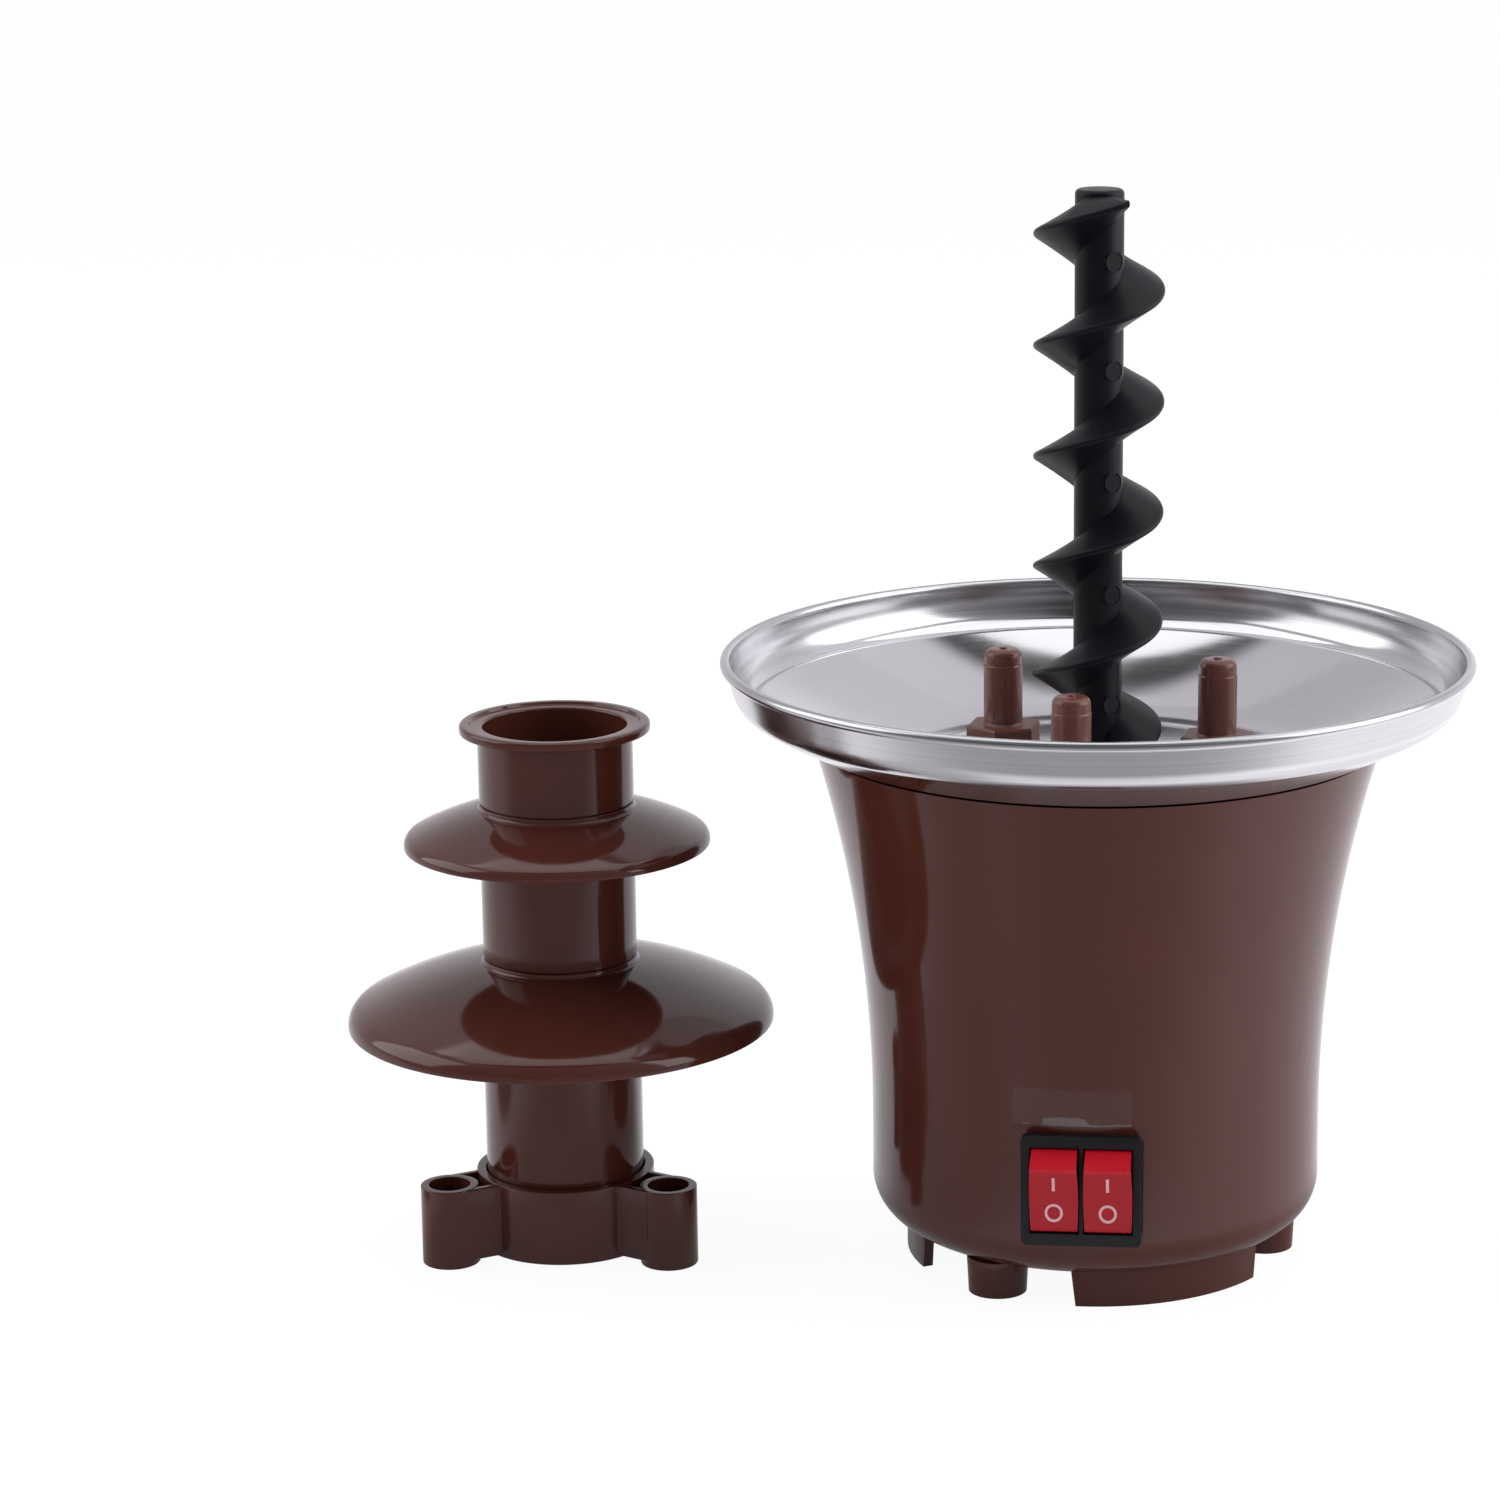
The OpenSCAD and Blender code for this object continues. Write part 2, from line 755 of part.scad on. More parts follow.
module tower_peg(index) {
    color("sienna")
        at_base()
            around(1, peg_circle, peg_angle + index * 120)
                difference() {
                    union() {
                        translate([0, 0, floor_z])
                            hexagon(hex_flats, hex_h);
                        translate([0, 0, hex_z - sink])
                            cylinder(h = peg_h - peg_tip + sink, r = peg_r);
                        translate([0, 0, hex_z])
                            rounded_post(peg_tip_r, peg_h, peg_round);
                        translate([0, 0, hex_z + peg_h - sink])
                            cylinder(h = nub_h + sink, r = nub_r);
                    }
                    translate([0, 0, floor_z - over])
                        cylinder(h = peg_seal_h + over, r = peg_seal_r + push_play);
                    translate([0, 0, floor_z - over])
                        cylinder(h = peg_thread + over, r = machine[2] + push_play);
                }
}

module peg_seals() {
    color("gainsboro")
        at_base()
            around(3, peg_circle, peg_angle)
                translate([0, 0, floor_z])
                    ring(peg_seal_r, machine[2] + shank_play, peg_seal_h);
}

module peg_screws() {
    color("silver")
        at_base()
            around(3, peg_circle, peg_angle)
                translate([0, 0, bracket_z])
                    screw(machine, floor_z + peg_thread - over - bracket_z);
}

module peg_spacers() {
    color("silver")
        at_base()
            around(3, peg_circle, peg_angle)
                translate([0, 0, plate_top])
                    ring(2 * machine[2], machine[2] + shank_play, heater_z - plate_top);
}

module heater_plate() {
    color("darkgray")
        at_base()
            difference() {
                translate([0, 0, heater_z])
                    ring(heater_r, heater_hole, heater_h);
                translate([0, 0, element_z])
                    rotate_extrude()
                        translate([element_ring, 0])
                            circle(element_r + run_play);
                around(3, peg_circle, peg_angle)
                    translate([0, 0, heater_z - over])
                        cylinder(h = heater_h + 2 * over, r = machine[2] + shank_play);
            }
}

// A sheathed heating tube bent into an open ring, with a connection pin at each end
module heating_element() {
    first = 90 + (360 - element_span) / 2;
    pin_r = 1.1;
    pin_len = 7;
    color("dimgray")
        at_base()
            translate([0, 0, element_z]) {
                rotate([0, 0, first])
                    rotate_extrude(angle = element_span)
                        translate([element_ring, 0])
                            circle(element_r);
                for (side = [0, 1])
                    rotate([0, 0, first + side * element_span])
                        translate([element_ring, 0, 0])
                            rotate([side == 0 ? 90 : -90, 0, 0])
                                translate([0, 0, -sink])
                                    cylinder(h = pin_len + sink, r = pin_r);
            }
}

// A snap-disc thermostat with two tabs, its cap against the heater plate
module thermostat() {
    cap_r = 7.2;
    cap_h = 2.8;
    case_r = 8;
    case_h = 6;
    tab = [0.8, 4.8, 7];
    tab_out = 4;
    color("ivory")
        at_base()
            around(1, sensor_circle, peg_angle + 60)
                translate([0, 0, heater_z - cap_h]) {
                    cylinder(h = cap_h, r = cap_r);
                    translate([0, 0, -case_h])
                        cylinder(h = case_h + sink, r = case_r);
                    for (side = [-1, 1])
                        translate([side * tab_out, 0, -case_h - tab[2] / 2 + sink])
                            cube(tab, center = true);
                }
}

// A one-shot thermal fuse lying under the heater plate
module thermal_fuse() {
    fuse_r = 2;
    fuse_len = 11;
    lead_r = 0.5;
    lead_len = 25;
    color("tan")
        at_base()
            around(1, sensor_circle, peg_angle + 180)
                translate([0, 0, heater_z - fuse_r - pilot_play])
                    rotate([90, 0, 0]) {
                        cylinder(h = fuse_len, r = fuse_r, center = true);
                        cylinder(h = lead_len, r = lead_r, center = true);
                    }
}

module motor_bracket() {
    color("lightslategray")
        at_base()
            difference() {
                union() {
                    translate([0, 0, bracket_z])
                        cylinder(h = bracket_wall, r = bracket_r);
                    translate([0, 0, bracket_z])
                        cylinder(h = bush_h, r = bush_r + bracket_wall);
                }
                translate([0, 0, bracket_z - over])
                    cylinder(h = bush_h + 2 * over, r = bush_r + push_play);
                translate([0, 0, bracket_z - over]) {
                    around(3, peg_circle, peg_angle)
                        cylinder(h = bracket_wall + 2 * over, r = machine[2] + shank_play);
                    around(3, lug_circle, peg_angle)
                        cylinder(h = bracket_wall + 2 * over, r = tapping[2] + shank_play);
                    for (at = case_ears)
                        translate(at)
                            cylinder(h = bracket_wall + 2 * over, r = small_screw[2] + shank_play);
                    translate(idler_at)
                        cylinder(h = bracket_wall + 2 * over, r = axle_r + push_play);
                }
            }
}

module bracket_screws() {
    color("silver")
        at_base()
            around(3, lug_circle, peg_angle)
                translate([0, 0, plate_top])
                    mirror([0, 0, 1])
                        screw(tapping, bracket_screw_len);
}

// Plan of the gearbox around its two large gears
module gearbox_plan(wall) {
    circle(slow_tip + gearbox_play + wall);
    translate(idler_at)
        circle(fast_tip + gearbox_play + wall);
}

module gearbox_case() {
    color("whitesmoke")
        at_base()
            difference() {
                union() {
                    translate([0, 0, case_low])
                        linear_extrude(gearbox_wall + gearbox_room)
                            gearbox_plan(gearbox_wall);
                    for (at = case_ears)
                        translate([at[0], at[1], case_floor_top])
                            cylinder(h = gearbox_room, r = case_ear_r);
                }
                translate([0, 0, case_floor_top])
                    linear_extrude(gearbox_room + over)
                        gearbox_plan(0);
                translate([0, 0, case_low - over]) {
                    cylinder(h = gearbox_wall + 2 * over, r = bush_r + push_play);
                    translate(pinion_at)
                        cylinder(h = gearbox_wall + 2 * over, r = pinion_tip + gearbox_play / 2);
                    translate(idler_at)
                        cylinder(h = gearbox_wall + 2 * over, r = axle_r + push_play);
                    for (side = [0, 180])
                        translate(pinion_at + turned([motor_ear, 0], motor_ear_angle + side))
                            cylinder(h = gearbox_wall + 2 * over, r = small_screw[2] + shank_play);
                }
                for (side = [0, 180])
                    translate(pinion_at + turned([motor_ear, 0], motor_ear_angle + side))
                        translate([0, 0, case_floor_top - small_screw[1] - pilot_play])
                            cylinder(h = gearbox_room, r = small_screw[0] + shank_play);
                for (at = case_ears)
                    translate([at[0], at[1], bracket_z - case_screw_len])
                        cylinder(h = case_screw_len + over, r = small_screw[2] + pilot_play);
            }
}

module gearbox_screws() {
    color("silver")
        at_base()
            for (at = case_ears)
                translate([at[0], at[1], plate_top])
                    mirror([0, 0, 1])
                        screw(small_screw, case_screw_len);
}

// The motor's closed can, with its ventilated end and the bearing nose under the shaft
module motor_can() {
    crimp = 1;
    nose_r = 4;
    nose_h = 2;
    color("silver")
        at_base()
            translate(pinion_at)
                difference() {
                    union() {
                        translate([0, 0, case_low - motor_len])
                            cylinder(h = motor_len - crimp, r = motor_r);
                        translate([0, 0, case_low - crimp - sink])
                            cylinder(h = crimp + sink, r = motor_r - crimp);
                        translate([0, 0, case_low - motor_len - nose_h])
                            cylinder(h = nose_h + sink, r = nose_r);
                    }
                    translate([0, 0, case_low - motor_len / 2])
                        cylinder(h = motor_len, r = motor_shaft_r + run_play);
                    for (side = [0, 180])
                        translate(turned([motor_ear, 0], motor_ear_angle + side))
                            translate([0, 0, case_low - motor_screw_len])
                                cylinder(h = motor_screw_len + over, r = small_screw[2] + pilot_play);
                }
}

module motor_screws() {
    color("silver")
        at_base()
            for (side = [0, 180])
                translate(pinion_at + turned([motor_ear, 0], motor_ear_angle + side))
                    translate([0, 0, case_floor_top - small_screw[1] - pilot_play])
                        mirror([0, 0, 1])
                            screw(small_screw, motor_screw_len);
}

module motor_shaft() {
    color("silver")
        at_base()
            translate(pinion_at)
                translate([0, 0, case_low - motor_len / 2])
                    cylinder(h = motor_len / 2 + gearbox_wall + gear_gap + gear_w, r = motor_shaft_r);
}

module motor_pinion() {
    color("goldenrod")
        at_base()
            translate(pinion_at)
                translate([0, 0, fast_z])
                    difference() {
                        rotate([0, 0, pinion_angle + 180])
                            spur_gear(pinion_teeth, fast_module, gear_w);
                        translate([0, 0, -over])
                            cylinder(h = gear_w + 2 * over, r = motor_shaft_r + push_play);
                    }
}

module idler_axle() {
    color("silver")
        at_base()
            translate(idler_at)
                translate([0, 0, case_low])
                    cylinder(h = plate_top - case_low, r = axle_r);
}

// The idler: a large wheel for the fast stage with a small one for the slow stage on top
module idler_gear() {
    color("ivory")
        at_base()
            translate(idler_at)
                difference() {
                    union() {
                        translate([0, 0, fast_z])
                            rotate([0, 0, pinion_angle + 180 / gear_teeth])
                                spur_gear(gear_teeth, fast_module, gear_w);
                        translate([0, 0, fast_z])
                            rotate([0, 0, idler_angle + 180])
                                spur_gear(pinion_teeth, slow_module, slow_top - fast_z);
                        translate([0, 0, case_floor_top + gear_gap / 3])
                            cylinder(h = gear_gap, r = 2 * axle_r);
                    }
                    translate([0, 0, case_floor_top])
                        cylinder(h = gearbox_room, r = axle_r + run_play);
                }
}

module output_gear() {
    color("ivory")
        at_base()
            difference() {
                union() {
                    translate([0, 0, slow_z])
                        rotate([0, 0, idler_angle + 180 / gear_teeth])
                            spur_gear(gear_teeth, slow_module, gear_w);
                    translate([0, 0, case_floor_top + gear_gap / 3])
                        cylinder(h = bracket_z - case_floor_top - 2 * gear_gap / 3, r = hub_gear_r);
                }
                translate([0, 0, case_floor_top])
                    cylinder(h = gearbox_room, r = shaft_r + push_play);
            }
}

module drive_shaft() {
    color("silver")
        at_base() {
            translate([0, 0, case_low + shaft_lift])
                cylinder(h = collar_z + sink - case_low - shaft_lift, r = shaft_r);
            translate([0, 0, collar_z])
                cylinder(h = collar_h, r = collar_r);
            translate([0, 0, auger_z - sink])
                hexagon(dog_flats, dog_len + sink);
        }
}

module upper_bush() {
    color("peru")
        at_base()
            translate([0, 0, bracket_z])
                ring(bush_r, shaft_r + run_play, bush_h);
}

module lower_bush() {
    color("peru")
        at_base()
            translate([0, 0, case_low])
                ring(bush_r, shaft_r + run_play, gearbox_wall);
}

// The seal where the shaft comes through the bowl: a grommet with a flange on each side
module shaft_seal() {
    color("gainsboro")
        at_base()
            difference() {
                union() {
                    translate([0, 0, floor_z])
                        cylinder(h = seal_h, r = seal_r);
                    translate([0, 0, floor_under - sink])
                        cylinder(h = sheet + 2 * sink, r = shaft_hole - pilot_play);
                    translate([0, 0, floor_under - seal_h])
                        cylinder(h = seal_h, r = seal_r);
                }
                translate([0, 0, floor_under - seal_h - over])
                    cylinder(h = sheet + 2 * seal_h + 2 * over, r = shaft_r + run_play);
            }
}

// The flight: a wedge with a rounded edge, carried up a right-handed helix between the core's ends
module flight() {
    steps_per_turn = 45;
    low = auger_z + flight_margin;
    high = auger_top - flight_margin;
    turns = (high - low) / pitch;
    steps = ceil(turns * steps_per_turn);
    slope = atan((flight_root - flight_edge) / 2 / (flight_r - core_r));
    section = concat(
        [[core_r - sink, -flight_root / 2 - flight_drop]],
        arc([flight_r - flight_edge / 2, 0], flight_edge / 2, slope - 90, 90 - slope, 4),
        [[core_r - sink, flight_root / 2 - flight_drop]]
    );
    n = len(section);
    points = [
        for (i = [0:steps])
            let (
                a = flight_end - 360 * turns * (1 - i / steps),
                z = low + (high - low) * i / steps
            )
            for (p = section)
                [p[0] * cos(a), p[0] * sin(a), min(max(z + p[1], auger_z + sink), auger_top - core_round)]
    ];
    sides = [
        for (i = [0:steps - 1], k = [0:n - 1])
            let (
                a = i * n + k,
                b = i * n + (k + 1) % n
            )
            each [[a, b, b + n], [a, b + n, a + n]]
    ];
    first = [for (k = [1:n - 2]) [0, k + 1, k]];
    top = steps * n;
    last = [for (k = [1:n - 2]) [top, top + k, top + k + 1]];
    polyhedron(points, concat(sides, first, last));
}

module auger() {
    color("#222224")
        at_base()
            difference() {
                union() {
                    translate([0, 0, auger_z])
                        rounded_post(core_r, auger_len, core_round);
                    flight();
                }
                translate([0, 0, auger_z - over])
                    hexagon(dog_flats + 2 * dog_play, dog_len + dog_play + over);
            }
}

// Bezel and case of the double switch, with a pocket for each rocker
module switch_housing() {
    color("#1c1c1f")
        at_base()
            translate([0, 0, switch_z])
                difference() {
                    union() {
                        translate([0, -bezel_back, 0])
                            rotate([90, 0, 0])
                                linear_extrude(bezel_t)
                                    rounded_plate(bezel_w, bezel_h, bezel_round);
                        translate([-housing_w / 2, -bezel_back - sink, -housing_h / 2])
                            cube([housing_w, bezel_back + sink - housing_back, housing_h]);
                    }
                    for (side = [-1, 1])
                        translate([(side * rocker_pitch - pocket_w) / 2, -bezel_front - over, -pocket_half])
                            cube([pocket_w, bezel_front + over - pivot_y + pocket_half, 2 * pocket_half]);
                    translate([0, -pivot_y, 0])
                        rotate([0, 90, 0])
                            cylinder(
                                h = rocker_pitch + pocket_w + 2 * stud_len + run_play,
                                r = stud_r + run_play,
                                center = true
                            );
                }
}

// A rocker lying in its off position, its lower end pressed in
module rocker(side) {
    dish_r = (pow(rocker_half, 2) + pow(rocker_dish, 2)) / (2 * rocker_dish);
    color("crimson")
        at_base()
            translate([side * rocker_pitch / 2, -pivot_y, switch_z])
                rotate([rocker_tilt, 0, 0]) {
                    side_view(rocker_w)
                        difference() {
                            intersection() {
                                circle(rocker_sweep);
                                translate([-rocker_back, -rocker_sweep])
                                    square([rocker_back + rocker_face, 2 * rocker_sweep]);
                            }
                            translate([rocker_face - rocker_dish + dish_r, 0])
                                circle(dish_r, $fn = 360);
                        }
                    rotate([0, 90, 0])
                        cylinder(h = rocker_w + 2 * stud_len, r = stud_r, center = true);
                }
}

module switch_terminals() {
    color("silver")
        at_base()
            for (side = [-1, 1], row = [-1, 1])
                translate([
                    side * rocker_pitch / 2,
                    -housing_back + blade[1] / 2,
                    switch_z + row * blade_rows
                ])
                    cube(blade, center = true);
}

// The grommet at the back through which the mains lead enters
module cord_gland() {
    flange_t = 1.6;
    inner = sqrt(pow(body_r - body_wall, 2) - pow(gland_flange, 2)) - pilot_play;
    outer = body_r + pilot_play;
    color("#1c1c1f")
        at_base()
            translate([0, inner - flange_t, gland_z])
                rotate([-90, 0, 0])
                    difference() {
                        union() {
                            cylinder(h = flange_t, r = gland_flange);
                            cylinder(h = outer + flange_t - inner + sink, r = gland_neck);
                            translate([0, 0, outer + flange_t - inner])
                                cylinder(h = flange_t, r = gland_flange);
                        }
                        translate([0, 0, -over])
                            cylinder(h = outer - inner + 2 * flange_t + 2 * over, r = gland_bore);
                    }
}

// Ring and three sockets that drop over the pegs, in one moulding
module tower_foot() {
    color("saddlebrown")
        at_tower()
            difference() {
                union() {
                    translate([0, 0, ring_lift])
                        cylinder(h = ring_h - ring_lift, r = ring_r);
                    around(3, peg_circle, socket_angle)
                        cylinder(h = ring_h, r = socket_r + socket_wall);
                    around(3, 0, socket_angle)
                        for (side = [-1, 1])
                            translate([0, side * (web_w - web_wall) / 2 - web_wall / 2, web_z])
                                cube([peg_circle, web_wall, ring_h - web_drop - web_z]);
                }
                translate([0, 0, -over])
                    cylinder(h = ring_h + 2 * over, r = tube_bore);
                translate([0, 0, ledge_z])
                    cylinder(h = ring_h, r = low_tube_r + tube_play);
                translate([0, 0, ring_h - ring_gap_h])
                    cylinder(h = ring_h, r = low_tube_r + ring_gap);
                around(3, peg_circle, socket_angle)
                    translate([0, 0, -over])
                        cylinder(h = ring_h + 2 * over, r = socket_r);
            }
}

// Half outline of the space under a tier's dome, drawn in by inset
function dome(r, z, shoulder, crown, inset) =
    let (
        centre = [0, crown_centre(r, z, shoulder, crown)],
        corner = [r - shoulder, z],
        meet = atan2(corner[1] - centre[1], corner[0])
    )
    concat(
        [[0, z - tier_lip], [r - inset, z - tier_lip]],
        arc(corner, shoulder - inset, 0, meet, 12),
        [for (p = arc(centre, crown - inset, meet, 90, 12)) if (p != [0, 0]) p]
    );

// A tube whose lower end steps down to half its wall, to fit inside the neck below it
module stepped_tube(low, shoulder, high) {
    translate([0, 0, low])
        cylinder(h = high - low, r = lap_r);
    translate([0, 0, shoulder])
        cylinder(h = high - shoulder, r = tube_r);
}

// The short neck on a tier's crown, with a fillet around its foot
module neck(crown_level, foot_level) {
    translate([0, 0, crown_level - hub_h])
        cylinder(h = hub_h + neck_h, r = tube_r);
    rotate_extrude()
        polygon(concat(
            [[tube_r - sink, foot_level - sink], [tube_r + neck_fillet, foot_level - sink]],
            arc([tube_r + neck_fillet, foot_level + neck_fillet], neck_fillet, 270, 180, 6),
            [[tube_r - sink, foot_level + neck_fillet]]
        ));
}

// A tier: a hollow dome with a hub and a neck, on the tube given as its child, which starts at low
module tier(r, z, shoulder, crown, top, ledge, low) {
    difference() {
        union() {
            difference() {
                rotate_extrude()
                    polygon(dome(r, z, shoulder, crown, 0));
                difference() {
                    rotate_extrude()
                        polygon(concat([[0, z - tier_lip - over]], dome(r, z, shoulder, crown, tier_wall)));
                    translate([0, 0, top - hub_h])
                        cylinder(h = hub_h + over, r = hub_r);
                }
            }
            neck(top, crown_z(r, z, shoulder, crown, tube_r + neck_fillet));
            children();
        }
        translate([0, 0, low - over])
            cylinder(h = top - low + crown, r = tube_bore);
        translate([0, 0, ledge])
            cylinder(h = crown, r = lap_r + tube_play);
    }
}

module lower_tier() {
    color("saddlebrown")
        at_tower()
            tier(large_r, large_z, large_shoulder, large_crown, large_top, large_ledge, ledge_z)
                translate([0, 0, ledge_z])
                    cylinder(h = large_top - hub_h + sink - ledge_z, r = low_tube_r);
}

module upper_tier() {
    color("saddlebrown")
        at_tower()
            tier(small_r, small_z, small_shoulder, small_crown, small_top, small_ledge, large_ledge)
                stepped_tube(large_ledge, large_neck + joint_gap, small_top - hub_h + sink);
}

// The topmost tube with the flange that the chocolate spills over
module tower_crown() {
    color("saddlebrown")
        at_tower()
            difference() {
                union() {
                    stepped_tube(small_ledge, small_neck + joint_gap, tower_h);
                    translate([0, 0, tower_h - flange_h])
                        cylinder(h = flange_h, r = flange_r);
                }
                translate([0, 0, small_ledge - over])
                    cylinder(h = tower_h, r = tube_bore);
                translate([0, 0, tower_h - step_h])
                    cylinder(h = step_h + over, r = step_r);
            }
}

body_shell();
base_cover();
cover_screws();
bowl();
tower_peg(0);  // tower_peg_right
tower_peg(1);  // tower_peg_left
tower_peg(2);  // tower_peg_front
peg_seals();
peg_screws();
peg_spacers();
heater_plate();
heating_element();
thermostat();
thermal_fuse();
motor_bracket();
bracket_screws();
gearbox_case();
gearbox_screws();
motor_can();
motor_screws();
motor_shaft();
motor_pinion();
idler_axle();
idler_gear();
output_gear();
drive_shaft();
upper_bush();
lower_bush();
shaft_seal();
auger();
switch_housing();
rocker(-1);  // motor_rocker
rocker(1);  // heat_rocker
switch_terminals();
cord_gland();
tower_foot();
lower_tier();
upper_tier();
tower_crown();
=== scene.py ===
"""Dresses a small chocolate fountain: the base with its steel bowl, pegs, auger and switch, and the tower."""

import json
import math

import bmesh
import bpy
import numpy as np
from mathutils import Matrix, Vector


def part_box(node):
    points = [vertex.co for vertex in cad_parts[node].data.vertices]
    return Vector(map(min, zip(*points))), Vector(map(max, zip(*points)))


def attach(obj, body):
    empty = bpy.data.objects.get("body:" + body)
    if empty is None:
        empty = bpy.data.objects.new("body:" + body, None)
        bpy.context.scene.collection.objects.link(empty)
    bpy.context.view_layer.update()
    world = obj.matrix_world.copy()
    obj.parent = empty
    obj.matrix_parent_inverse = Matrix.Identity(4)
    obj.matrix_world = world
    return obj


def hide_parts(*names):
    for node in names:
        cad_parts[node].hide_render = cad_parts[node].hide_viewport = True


bl_info = {
    "name": "Chocolate fountain",
    "version": (1, 0, 0),
    "blender": (4, 5, 0),
    "location": "View3D > Sidebar > Fountain",
    "description": "Dresses the pieces of a small chocolate fountain and sets its stage",
    "category": "Object",
}

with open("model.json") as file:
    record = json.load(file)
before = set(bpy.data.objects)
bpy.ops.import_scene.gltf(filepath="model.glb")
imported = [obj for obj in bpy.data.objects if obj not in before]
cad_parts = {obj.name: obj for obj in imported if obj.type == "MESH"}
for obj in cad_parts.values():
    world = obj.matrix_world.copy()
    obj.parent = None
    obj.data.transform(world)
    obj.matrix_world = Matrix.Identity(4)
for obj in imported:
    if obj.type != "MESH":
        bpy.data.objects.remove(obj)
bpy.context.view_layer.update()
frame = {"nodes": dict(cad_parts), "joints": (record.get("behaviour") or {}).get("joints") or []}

MM = 0.001
SHARP = math.radians(32)


def joint_place(name):
    """Where a joint sits in plan, in millimetres."""
    place = next(joint["pos_m"] for joint in frame["joints"] if joint["name"] == name)
    return np.array(place[:2]) / MM


BASE = joint_place("drive_spin")
TOWER = joint_place("tower_lift")
BODY_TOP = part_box("body_shell")[1][2] / MM
AUGER_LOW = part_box("auger")[0][2] / MM
AUGER_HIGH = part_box("auger")[1][2] / MM


# Sizes and colours

class FountainSizes(bpy.types.PropertyGroup):
    """Sizes of the dressed pieces."""

    body_r: bpy.props.FloatProperty(name="Body radius", description="Radius of the body's straight side",
                                    default=48.4 * MM, unit="LENGTH")
    flare_r: bpy.props.FloatProperty(name="Flare radius", description="Radius of the body's flaring arc",
                                     default=280 * MM, unit="LENGTH")
    body_wall: bpy.props.FloatProperty(name="Body wall", description="Thickness of the body's wall",
                                       default=2.2 * MM, unit="LENGTH")
    rim_r: bpy.props.FloatProperty(name="Rim radius", description="Radius over the bowl's rolled rim",
                                   default=80 * MM, unit="LENGTH")
    bead_r: bpy.props.FloatProperty(name="Bead radius", description="Radius of the rolled rim itself",
                                    default=1.1 * MM, unit="LENGTH")
    flight_r: bpy.props.FloatProperty(name="Flight radius", description="Radius over the auger's flight",
                                      default=13.75 * MM, unit="LENGTH")
    pitch: bpy.props.FloatProperty(name="Pitch", description="Rise of the auger's flight in one turn",
                                   default=23.4 * MM, unit="LENGTH")
    edge: bpy.props.FloatProperty(name="Edge rounding", description="Rounding of moulded edges",
                                  default=0.4 * MM, unit="LENGTH")
    rocker_tilt: bpy.props.FloatProperty(name="Rocker tilt", description="Tilt of a rocker when it is off",
                                         default=math.radians(15), subtype="ANGLE")


class FountainColours(bpy.types.PropertyGroup):
    """Colours of the finishes."""

    brown: bpy.props.FloatVectorProperty(name="Brown", description="Moulded body and tower", subtype="COLOR",
                                         default=(0.083, 0.0228, 0.0156))
    steel: bpy.props.FloatVectorProperty(name="Steel", description="Drawn bowl", subtype="COLOR",
                                         default=(0.635, 0.636, 0.656))
    black: bpy.props.FloatVectorProperty(name="Black", description="Auger", subtype="COLOR",
                                         default=(0.0072, 0.0067, 0.0100))
    red: bpy.props.FloatVectorProperty(name="Red", description="Rockers", subtype="COLOR",
                                       default=(0.70, 0.012, 0.029))
    mark: bpy.props.FloatVectorProperty(name="Mark", description="Marks on the rockers", subtype="COLOR",
                                        default=(0.86, 0.51, 0.55))
    floor: bpy.props.FloatVectorProperty(name="Floor", description="Floor and backdrop", subtype="COLOR",
                                         default=(0.95, 0.95, 0.95))


def sizes(name):
    """A size in millimetres."""
    return getattr(bpy.context.scene.fountain_sizes, name) / MM


def colour(name):
    return tuple(getattr(bpy.context.scene.fountain_colours, name)) + (1.0,)


# Outlines, as arrays of points

def arc(centre, radius, start, end, steps=12):
    """Points centre + radius (cos t, sin t) for t from start to end, in degrees."""
    t = np.radians(np.linspace(start, end, steps + 1))
    return np.asarray(centre, float) + radius * np.stack([np.cos(t), np.sin(t)], -1)


def rounded(points, radii, steps=5):
    """A closed outline whose corners are arcs of radius r that touch both sides; r = 0 keeps a corner."""
    points = [np.asarray(p, float) for p in points]
    out = []
    for k, (p, r) in enumerate(zip(points, radii)):
        if r == 0:
            out.append(p[None])
            continue
        u = points[k - 1] - p
        v = points[(k + 1) % len(points)] - p
        u, v = u / np.linalg.norm(u), v / np.linalg.norm(v)
        half = math.acos(np.clip(u @ v, -1, 1)) / 2
        centre = p + (u + v) / np.linalg.norm(u + v) * r / math.sin(half)
        a = p + u * r / math.tan(half) - centre
        b = p + v * r / math.tan(half) - centre
        start = math.degrees(math.atan2(a[1], a[0]))
        turn = math.degrees(math.atan2(a[0] * b[1] - a[1] * b[0], a @ b))
        out.append(arc(centre, r, start, start + turn, steps))
    return np.concatenate(out)


# Surfaces, as grids of points in millimetres

def grid(points, wrap_u=False, wrap_v=False, keep=None):
    """Quads over a grid P[i, j]: quad (i, j) joins P[i, j], P[i+1, j], P[i+1, j+1] and P[i, j+1]."""
    nu, nv = points.shape[:2]
    rows, columns = (nu if wrap_u else nu - 1), (nv if wrap_v else nv - 1)
    i, j = np.meshgrid(np.arange(rows), np.arange(columns), indexing="ij")
    i2, j2 = (i + 1) % nu, (j + 1) % nv
    quads = np.stack([i * nv + j, i2 * nv + j, i2 * nv + j2, i * nv + j2], -1)
    quads = quads.reshape(-1, 4) if keep is None else quads[keep]
    return points.reshape(-1, 3), quads


def lathe(outline, centre=(0, 0), steps=192, closed=True):
    """The outline (r, z) turned about the upright axis through centre: (cx + r cos a, cy + r sin a, z)."""
    a = np.linspace(0, 2 * np.pi, steps, endpoint=False)[:, None]
    r, z = outline[None, :, 0], outline[None, :, 1]
    points = np.stack([centre[0] + r * np.cos(a), centre[1] + r * np.sin(a), z + 0 * a], -1)
    return grid(points, wrap_u=True, wrap_v=closed)


